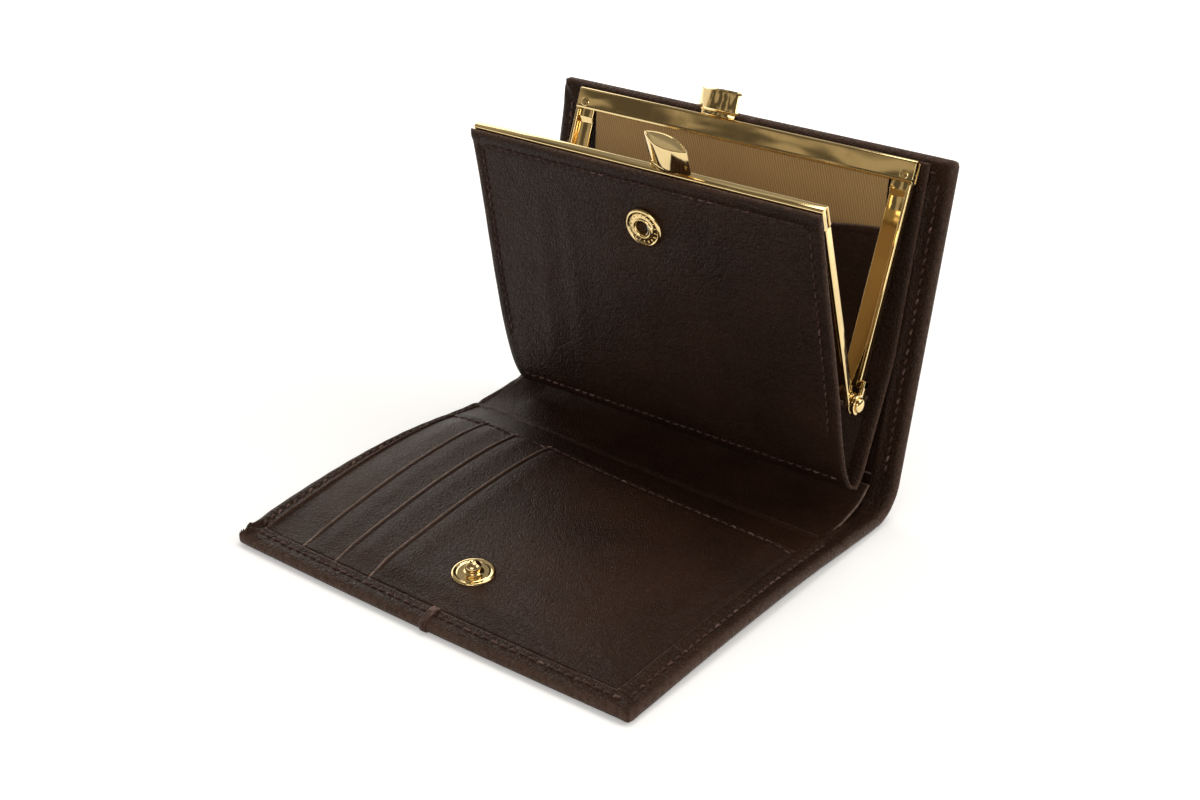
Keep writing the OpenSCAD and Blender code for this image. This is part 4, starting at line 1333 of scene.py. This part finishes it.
def build_half_frame(word, place, body, rear):
    """One bar with its two arms, ears and the staked pins that hold the arms in the bar."""
    outline = bar_outline()

    def along(points, x):
        return place(np.full(len(points), x), points[:, 0], points[:, 1])

    bar = plate(outline, -bar_half, bar_half, 0.1, along, "frame_bar_" + word + "_metal", "gold")
    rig.replaces(bar, "frame_bar_" + word)
    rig.ride(bar, body)
    stakes = []
    for side in (-1, 1):
        def stake_place(a, b, h, side=side):
            return place(side * (bar_half - 2.5) + a, bar_gap - h, arm_l - 3.7 + b)

        stakes.append(revolve([(0, -0.3), (1.15, -0.3), (1.15, 0.03), (1.05, 0.1), (0.85, 0.12),
                               (0.6, 0.06), (0.3, 0.02), (0, 0.0)], stake_place, "stake", "gold",
                              around=28))
    staked = join(stakes, "bar_stakes_" + word)
    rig.ride(staked, body)
    for side, hand in HANDS:
        build_arm(word, place, body, rear, side, hand)


def build_arm(word, place, body, rear, side, hand):
    """An arm: a flat flange with a step into the bar, an outer web and the hinge ear below."""
    foot = 3.8 if rear else 3.6
    face = bar_gap + bar_wall + 0.05
    top = arm_l - bar_wall - play
    step = arm_l - bar_h - 3.4
    lean = 0.55
    outer = bar_half
    side_line = [(face + lean, foot), (face + lean, step), (face, step + flange_bend), (face, top)]
    far_line = [(v + flange_t, u) for v, u in side_line[::-1]]
    flange = rounded(side_line + far_line, (0.2, 1.2, 1.2, 0.2) * 2)

    def across(points, x):
        return place(np.full(len(points), side * x), points[:, 0], points[:, 1])

    parts = [plate(flange, outer - arm_w, outer - play, 0.22, across, "flange", "gold")]
    web_low = foot + (1.4 if rear else 0.0)
    web = block_outline(bar_gap, bar_gap + web_d, web_low, arm_l - bar_h - 0.15, 0.35)
    parts.append(plate(web, outer - ear_t, outer, 0.25, across, "web", "gold"))
    v0, v1 = bar_gap + bar_wall + 0.04, bar_gap + bar_d - bar_wall - 0.04
    tongue = block_outline(v0, v1, arm_l - bar_h - 0.4, top, 0.2)
    parts.append(plate(tongue, outer - play - ear_t, outer - play, 0.2, across, "tongue", "gold"))
    ear_x = outer + ear_gap if rear else outer - ear_t
    neck = foot + (1.9 if rear else 1.0)
    parts.append(plate(ear_outline(neck), ear_x, ear_x + ear_t, 0.22, across, "ear", "gold"))
    if rear:
        step_block = rounded([(bar_gap, foot), (bar_gap + web_d, foot),
                              (bar_gap + web_d, foot + 2.0), (bar_gap, foot + 2.0)], 0.35)
        parts.append(plate(step_block, outer - ear_t, ear_x + ear_t, 0.25, across, "step", "gold"))
    name = "frame_arm_" + word + "_" + hand
    arm = join(parts, name + "_metal")
    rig.replaces(arm, name)
    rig.ride(arm, body)


def ear_outline(neck):
    """A round ear with a neck that runs up into the arm."""
    left, right = bar_gap, bar_gap + web_d
    turn = np.linspace(atan2(sqrt(ear_r**2 - right**2), right),
                       -2 * pi + atan2(sqrt(ear_r**2 - left**2), left), 40)
    ring = [(ear_r * cos(a), ear_r * sin(a)) for a in turn]
    return np.array([(right, neck), *ring, (left, neck)])


def build_rivets():
    for side, hand in HANDS:
        def place(a, b, h, side=side):
            return rear_place(side * h, a, b)

        inner = bar_half - ear_t - 0.05
        outer = bar_half + ear_gap + ear_t + 0.03
        rim_h = 0.15
        dome = [(rivet_dome_r * cos(a), outer + rim_h + rivet_dome_h * sin(a))
                for a in np.linspace(0, pi / 2, 9)]
        dome[-1] = (0.0, outer + rim_h + rivet_dome_h)
        profile = [(0, inner - 0.85), (1.2, inner - 0.8), (1.75, inner - 0.6), (1.85, inner - 0.35),
                   (1.8, inner), (rivet_r, inner), (rivet_r, outer), (rivet_dome_r - 0.12,
                   outer), *dome]
        rivet = revolve(profile, place, "hinge_rivet_" + hand + "_metal", "gold", around=48,
                        sharp=60)
        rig.replaces(rivet, "hinge_rivet_" + hand)
        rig.ride(rivet, "back")


def leaf_outline(length, width, count=22):
    """A leaf with two tips, a little rounded."""
    r = (length**2 + width**2) / (4 * width)
    half = asin(length / 2 / r)
    side = [(r * sin(a), r * cos(a) - r + width / 2) for a in np.linspace(-half, half, count)]
    other = [(-x, -y) for x, y in side[1:-1]]
    tip = 0.28
    side[0] = (side[0][0] + tip * 0.4, 0.0)
    side[-1] = (side[-1][0] - tip * 0.4, 0.0)
    return np.array(side + other)


def build_clasp(word, place, body, side, top_u):
    """A leaf-shaped clasp with a rimmed flat top, turned across its bar on a short stem."""
    length, width, turn = 15.5, 4.7, radians(16) * side
    centre = 0.55 + side * (0.225 + length / 2 * cos(turn))
    middle_v = bar_gap + bar_d / 2 - 0.7
    outline = leaf_outline(length, width)
    low = arm_l + 1.0

    def shrink(inset):
        return np.array([1 - 2 * inset / length * 1.6, 1 - 2 * inset / width])

    rings = [(0.5, low), (0.18, low + 0.08), (0.05, low + 0.3), (0.0, low + 0.7),
             (0.0, top_u - 0.45), (0.06, top_u - 0.15), (0.2, top_u), (0.34, top_u),
             (0.46, top_u - 0.16), (0.56, top_u - 0.36), (0.9, top_u - 0.34), (1.5, top_u - 0.32),
             (2.0, top_u - 0.31)]
    points = []
    for inset, u in rings:
        p = outline * shrink(inset)
        x, v = turned(p[:, 0], p[:, 1], turn)
        points.append(place(centre + x, middle_v + v, u - 0.17 * v * (inset > 0.4) * (u > low + 1)))
    head = add_mesh("head", np.concatenate(points), tube_faces(len(rings), len(outline)), "gold",
                    sharp=48)

    def stem_place(points, u):
        return place(centre + points[:, 0], bar_gap + bar_d / 2 + points[:, 1],
                     np.full(len(points), u))

    stem = plate(leaf_outline(10.0, 2.3, 14), arm_l - 0.1, low + 0.4, 0.08, stem_place, "stem",
                 "gold", turns=2)
    clasp = join([head, stem], "clasp_" + word + "_metal")
    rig.replaces(clasp, "clasp_" + word)
    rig.ride(clasp, body)


def build_frame():
    build_half_frame("rear", rear_place, "back", True)
    build_half_frame("front", front_place, "purse_front", False)
    build_rivets()
    build_clasp("rear", rear_place, "back", -1, arm_l + 6.5)
    build_clasp("front", front_place, "purse_front", 1, arm_l + 7.2)


# Press stud

def build_snap():
    def stud_place(a, b, h):
        base = cover_place(stud_x, stud_t, stud_level)
        slope_x = (lift(1.0, stud_t) - lift(-1.0, stud_t)) / 2
        slope_t = (lift(0.0, stud_t + 1) - lift(0.0, stud_t - 1)) / 2
        up = np.array([-slope_x, -slope_t, 1.0])
        up /= np.linalg.norm(up)
        east = np.array([1.0, 0.0, slope_x])
        east /= np.linalg.norm(east)
        north = np.cross(up, east)
        return base + a[:, None] * east + b[:, None] * north + h[:, None] * up

    head_z, head_r = 1.6, 1.95
    ball = [(head_r * cos(a), head_z + head_r * 0.85 * sin(a)) for a in np.linspace(-0.9, 1.15, 12)]
    profile = [(0, -0.6), (4.6, -0.6), (4.95, -0.2), (5.05, 0.15), (4.98, 0.38), (4.8, 0.5),
               (4.55, 0.5), (4.3, 0.45), (4.1, 0.44), (4.0, 0.38), (3.88, 0.38), (3.78, 0.44),
               (3.5, 0.44), (2.6, 0.4), (2.0, 0.42), (1.8, 0.5), (1.65, 0.72), *ball,
               (0.6, head_z + head_r * 0.8), (0.42, head_z + head_r * 0.74),
               (0.0, head_z + head_r * 0.7)]
    stud = revolve(profile, stud_place, "snap_stud_metal", "gold", sharp=60)
    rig.replaces(stud, "snap_stud")
    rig.ride(stud, "flap")

    y, z = FRONT.at(SOCKET_S, 0.1)
    ny, nz = np.array(FRONT.at(SOCKET_S, 1.1)) - np.array((y, z))
    out = np.array([0.0, ny, nz])
    east = np.array([1.0, 0.0, 0.0])
    up = np.cross(out, east)
    centre = np.array([socket_x, y, z])

    def socket_place(a, b, h):
        return centre + a[:, None] * east + b[:, None] * up + h[:, None] * out

    profile = [(4.7, -0.6), (4.95, -0.1), (5.02, 0.3), (4.9, 0.62), (4.65, 0.8), (4.4, 0.84),
               (4.2, 0.74), (4.05, 0.62), (3.5, 0.6), (3.1, 0.64), (2.8, 0.72), (2.7, 0.92),
               (2.55, 1.06), (2.35, 1.1), (2.15, 1.02), (2.0, 0.82), (1.88, 0.5), (1.88, -0.95),
               (2.4, -1.0), (2.9, -0.7), (4.7, -0.6)]
    ring = revolve(profile, socket_place, "ring", "gold", sharp=60)
    parts = [ring]
    marks = 18
    for k in range(marks):
        turn = 2 * pi * k / marks
        spoke = rounded([(-0.13, 3.2), (0.13, 3.2), (0.13, 3.95), (-0.13, 3.95)], 0.1, turns=2)

        def mark_place(points, depth, turn=turn):
            return socket_place(*turned(points[:, 0], points[:, 1], turn),
                                np.full(len(points), depth))

        parts.append(plate(spoke, 0.5, 0.74, 0.06, mark_place, "mark", "gold", turns=2))
    socket = join(parts, "snap_socket_metal")
    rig.replaces(socket, "snap_socket")
    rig.ride(socket, "purse_front")


# Pieces that stay inside

def finish_hidden():
    """The hidden pieces keep the shape of their solids and only get a finish."""
    finishes = {"flap_board": "board", "back_board": "board", "frame_cord_rear": "board",
                "frame_cord_front": "board", "stud_anchor": "gold", "snap_cap": "gold",
                "snap_spring": "steel"}
    for node, finish in finishes.items():
        mesh = frame["nodes"][node].data
        mesh.materials.clear()
        mesh.materials.append(MATERIALS[finish])


# Stage

def build_stage():
    settings = bpy.context.scene.wallet.stage
    scene = bpy.context.scene
    reach, white = 3.0, (1, 1, 1, 1)
    mesh = bpy.data.meshes.new("floor")
    mesh.from_pydata([(-reach, -reach, 0), (reach, -reach, 0), (reach, reach, 0),
                      (-reach, reach, 0)], [], [(0, 1, 2, 3)])
    mesh.transform(Matrix.Translation((0, 0, -settings.floor_drop)))
    floor = bpy.data.objects.new("floor", mesh)
    scene.collection.objects.link(floor)
    material = bpy.data.materials.new("Pale floor")
    material.use_nodes = True
    tree = material.node_tree
    tree.nodes.clear()
    n = Nodes(tree)
    path = n.add("LightPath").outputs
    glossy_or_through = n.math("MAXIMUM", path["Is Glossy Ray"], path["Is Transmission Ray"])
    direct = n.math("MAXIMUM", path["Is Camera Ray"], glossy_or_through)
    speckle = n.noise(n.object_place(), 40.0)
    cream, pale, shade = (0.95, 0.942, 0.92, 1), (0.96, 0.953, 0.935, 1), (0.34, 0.33, 0.32, 1)
    paper = n.mix(n.range(speckle, 0.3, 0.7), cream, pale)
    paper = n.mix(path["Is Diffuse Ray"], paper, shade)
    matte = n.add("BsdfDiffuse", {"Color": paper})
    away = n.add("VectorMath", {0: n.object_place()}, operation="LENGTH").outputs["Value"]
    share = n.range(away, 0.22, 0.6, settings.floor_white, 1.0)
    glow = n.add("Emission", {"Color": white, "Strength": n.times(direct, share)})
    shown = n.add("AddShader", {0: matte.outputs[0], 1: glow.outputs[0]})
    output = tree.nodes.new("ShaderNodeOutputMaterial")
    tree.links.new(shown.outputs[0], output.inputs[0])
    mesh.materials.append(material)
    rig.stage(floor)

    world = bpy.data.worlds.new("Studio")
    world.use_nodes = True
    scene.world = world
    n = Nodes(world.node_tree)
    path = n.add("LightPath").outputs
    way = n.add("TexCoord").outputs["Generated"]
    away_from_camera = (-0.54, 0.84, 0.0)
    behind = n.add("VectorMath", {0: way, 1: away_from_camera},
                   operation="DOT_PRODUCT").outputs["Value"]
    room = n.range(n.noise(way, 5.5, 2.0), 0.49, 0.62, settings.room, 0.45)
    height = n.add("SeparateXYZ", {0: way}).outputs["Z"]
    backdrop = n.times(n.range(behind, 0.25, 0.45), n.range(height, 0.2, 0.7, 1.0, 0.22))
    mirrored = n.plus(n.times(n.minus(1.0, backdrop), room), backdrop)
    seen = n.math("MAXIMUM", path["Is Camera Ray"], path["Is Transmission Ray"])
    lit = n.plus(n.times(path["Is Glossy Ray"], n.minus(mirrored, settings.sky)), settings.sky)
    sky = world.node_tree.nodes["Background"]
    amber, ivory = (1, 0.86, 0.66, 1), (1, 0.95, 0.87, 1)
    warm = n.mix(n.range(behind, 0.25, 0.45), amber, ivory)
    n.fill(sky.inputs, {"Color": n.mix(path["Is Glossy Ray"], white, warm),
                        "Strength": n.math("MAXIMUM", seen, lit)})

    target, lamp_colour = Vector((0.0, 0.02, 0.03)), (1.0, 0.955, 0.9)
    lamps = (("key_softbox", (-0.85, 0.42, 0.45), (0.7, 0.5), settings.key),
             ("top_softbox", (0.0, 0.25, 1.0), (0.5, 0.5), settings.top),
             ("right_softbox", (0.75, 0.35, 0.7), (0.6, 0.6), settings.side),
             ("front_softbox", (0.33, -0.9, 0.5), (0.6, 0.4), settings.front))
    for name, place, (wide, tall), power in lamps:
        lamp = bpy.data.lights.new(name, "AREA")
        lamp.shape = "RECTANGLE"
        lamp.size, lamp.size_y, lamp.energy = wide, tall, power
        lamp.color = lamp_colour
        light = bpy.data.objects.new(name, lamp)
        light.location = place
        light.rotation_euler = (target - Vector(place)).to_track_quat("-Z", "Y").to_euler()
        scene.collection.objects.link(light)

    lens = bpy.data.cameras.new("camera")
    lens.lens = 51.487
    lens.sensor_width = 36.0
    camera = bpy.data.objects.new("camera", lens)
    right = Vector((0.79579067, 0.60522112, 0.020606))
    ahead = Vector((-0.53995177, 0.72455327, -0.4283394))
    up = right.cross(ahead)
    turn = Matrix((right, up, -ahead)).transposed().to_4x4()
    eye = Vector((220.03, -273.698, 205.818)) * MM
    camera.matrix_world = Matrix.Translation(eye) @ turn
    scene.collection.objects.link(camera)
    scene.camera = camera
    scene.view_settings.view_transform = "Standard"


# Settings

def colour(name, description, default):
    return bpy.props.FloatVectorProperty(name=name, description=description, default=default,
                                         subtype="COLOR", min=0, max=1)


def number(name, description, default, high=1.0, **more):
    return bpy.props.FloatProperty(name=name, description=description, default=default, min=0,
                                   max=high, **more)


def power(name, description, default):
    return bpy.props.FloatProperty(name=name, description=description, default=default,
                                   unit="POWER")


class WALLET_PG_cover(bpy.types.PropertyGroup):
    arch: number("Arch", "Height to which the card flap arches on its left", 0.0068, 0.009,
                 unit="LENGTH")


class WALLET_PG_finish(bpy.types.PropertyGroup):
    outer: colour("Outer leather", "Dye of the outer leather", (0.041, 0.0172, 0.0085))
    inner: colour("Inner leather", "Dye of the inner leather", (0.038, 0.0155, 0.0075))
    # Lighter edge colours: partly edge wear, partly a painted highlight; the inner one is mostly the painted highlight
    # on the card mouths and the strip's lip
    rubbed: colour("Rubbed edge", "Outer leather where its edges are rubbed", (0.11, 0.062, 0.042))
    rubbed_inner: colour("Rubbed mouth", "Inner leather where its edges are rubbed",
                         (0.24, 0.16, 0.12))
    thread: colour("Thread", "Colour of the sewing thread", (0.062, 0.03, 0.022))
    thread_worn: colour("Worn thread", "Paler parts of the sewing thread", (0.24, 0.15, 0.12))
    twill: colour("Twill", "Colour of the lining", (0.57, 0.36, 0.145))
    twill_shade: colour("Twill shade", "Colour between the ribs of the lining", (0.07, 0.04, 0.014))
    twill_stain: colour("Twill stain", "Colour of the lining's soft patches", (0.2, 0.12, 0.06))
    gold: colour("Gilt metal", "Colour of the plated frame", (0.81, 0.625, 0.31))
    gold_dull: colour("Dull plating", "Colour of the frame where it is handled", (0.6, 0.42, 0.19))
    steel: colour("Spring wire", "Colour of the spring in the socket", (0.6, 0.58, 0.54))
    steel_dull: colour("Dull wire", "Duller parts of the spring", (0.4, 0.38, 0.34))
    board: colour("Board", "Colour of the fibre board", (0.3, 0.26, 0.2))
    board_fleck: colour("Board flecks", "Darker fibres in the board", (0.16, 0.13, 0.09))
    grain: number("Grain depth", "Depth of the leather's grain", 0.00024, 0.0004, precision=6,
                  unit="LENGTH")


class WALLET_PG_stage(bpy.types.PropertyGroup):
    floor_drop: number("Floor drop", "Depth of the floor under the flap", 0.0001, 0.01,
                       unit="LENGTH")
    floor_white: number("Floor white", "Plain white added to the floor beside the wallet", 0.24,
                        subtype="FACTOR")
    sky: number("Sky", "Strength of the light all round", 0.4, 2)
    room: number("Room", "Strength of the dark room in polished metal", 0.1)
    key: power("Key", "Power of the left softbox", 2.3)
    top: power("Top", "Power of the softbox above", 2.9)
    side: power("Side", "Power of the right softbox", 3.0)
    front: power("Front", "Power of the front softbox", 2.6)


class WALLET_PG_all(bpy.types.PropertyGroup):
    cover: bpy.props.PointerProperty(type=WALLET_PG_cover, name="Cover",
                                     description="Sizes of the cover")
    finish: bpy.props.PointerProperty(type=WALLET_PG_finish, name="Finish",
                                      description="Colours and grain")
    stage: bpy.props.PointerProperty(type=WALLET_PG_stage, name="Stage",
                                     description="Floor and lamps")


# Operators

class Builder:
    """What every operator shares: it builds its pieces and says that it has finished."""

    def execute(self, context):
        self.build()
        return {"FINISHED"}


class WALLET_OT_materials(Builder, bpy.types.Operator):
    """Makes the leather, thread, twill, metal and board materials"""
    bl_idname = "wallet.materials"
    bl_label = "Materials"
    build = staticmethod(make_materials)


class WALLET_OT_cover(Builder, bpy.types.Operator):
    """Builds the outer leather with its turned edges, stitches and bar tack"""
    bl_idname = "wallet.cover"
    bl_label = "Cover"
    build = staticmethod(build_cover)


class WALLET_OT_card_side(Builder, bpy.types.Operator):
    """Builds the card panels, the large pocket and the strip beside the front crease"""
    bl_idname = "wallet.card_side"
    bl_label = "Card side"
    build = staticmethod(build_card_side)


class WALLET_OT_spine(Builder, bpy.types.Operator):
    """Builds the inner leathers of the spine and of the note compartment"""
    bl_idname = "wallet.spine"
    bl_label = "Spine"
    build = staticmethod(build_spine)


class WALLET_OT_purse(Builder, bpy.types.Operator):
    """Builds the coin purse's leather walls and gussets"""
    bl_idname = "wallet.purse"
    bl_label = "Purse"
    build = staticmethod(build_purse)


class WALLET_OT_linings(Builder, bpy.types.Operator):
    """Builds the twill linings and the slip pocket"""
    bl_idname = "wallet.linings"
    bl_label = "Linings"
    build = staticmethod(build_linings)


class WALLET_OT_frame(Builder, bpy.types.Operator):
    """Builds the two half frames, the hinge rivets and the clasps"""
    bl_idname = "wallet.frame"
    bl_label = "Frame"
    build = staticmethod(build_frame)


class WALLET_OT_snap(Builder, bpy.types.Operator):
    """Builds the press stud and its socket"""
    bl_idname = "wallet.snap"
    bl_label = "Press stud"
    build = staticmethod(build_snap)


class WALLET_OT_hidden(Builder, bpy.types.Operator):
    """Gives the small pieces inside their finish"""
    bl_idname = "wallet.hidden"
    bl_label = "Inner pieces"
    build = staticmethod(finish_hidden)


class WALLET_OT_stage(Builder, bpy.types.Operator):
    """Sets out the floor, the lamps and the camera"""
    bl_idname = "wallet.stage"
    bl_label = "Stage"
    build = staticmethod(build_stage)


OPERATORS = (WALLET_OT_materials, WALLET_OT_stage, WALLET_OT_cover, WALLET_OT_card_side,
             WALLET_OT_spine, WALLET_OT_purse, WALLET_OT_linings, WALLET_OT_frame, WALLET_OT_snap,
             WALLET_OT_hidden)


class WALLET_PT_panel(bpy.types.Panel):
    """Lists the wallet's pieces and settings"""
    bl_idname = "WALLET_PT_panel"
    bl_label = "Folding wallet"
    bl_space_type = "VIEW_3D"
    bl_region_type = "UI"
    bl_category = "Wallet"

    def draw(self, context):
        settings = context.scene.wallet
        for group in (settings.cover, settings.finish, settings.stage):
            box = self.layout.box()
            for key in group.__annotations__:
                box.prop(group, key)
        for operator in OPERATORS:
            self.layout.operator(operator.bl_idname)


CLASSES = (WALLET_PG_cover, WALLET_PG_finish, WALLET_PG_stage, WALLET_PG_all, *OPERATORS,
           WALLET_PT_panel)


def register():
    for item in CLASSES:
        bpy.utils.register_class(item)
    bpy.types.Scene.wallet = bpy.props.PointerProperty(type=WALLET_PG_all, name="Wallet",
                                                       description="Settings of the folding wallet")


def unregister():
    del bpy.types.Scene.wallet
    for item in reversed(CLASSES):
        bpy.utils.unregister_class(item)


def main():
    register()
    for operator in OPERATORS:
        group, name = operator.bl_idname.split(".")
        getattr(getattr(bpy.ops, group), name)()
    size = {"cad": [list(corner) for corner in CAD_BOUNDS],
            "visual": [list(corner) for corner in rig.bounds()]}
    with open("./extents.json", "w") as out:
        json.dump(size, out)


if __name__ == "__main__":
    main()
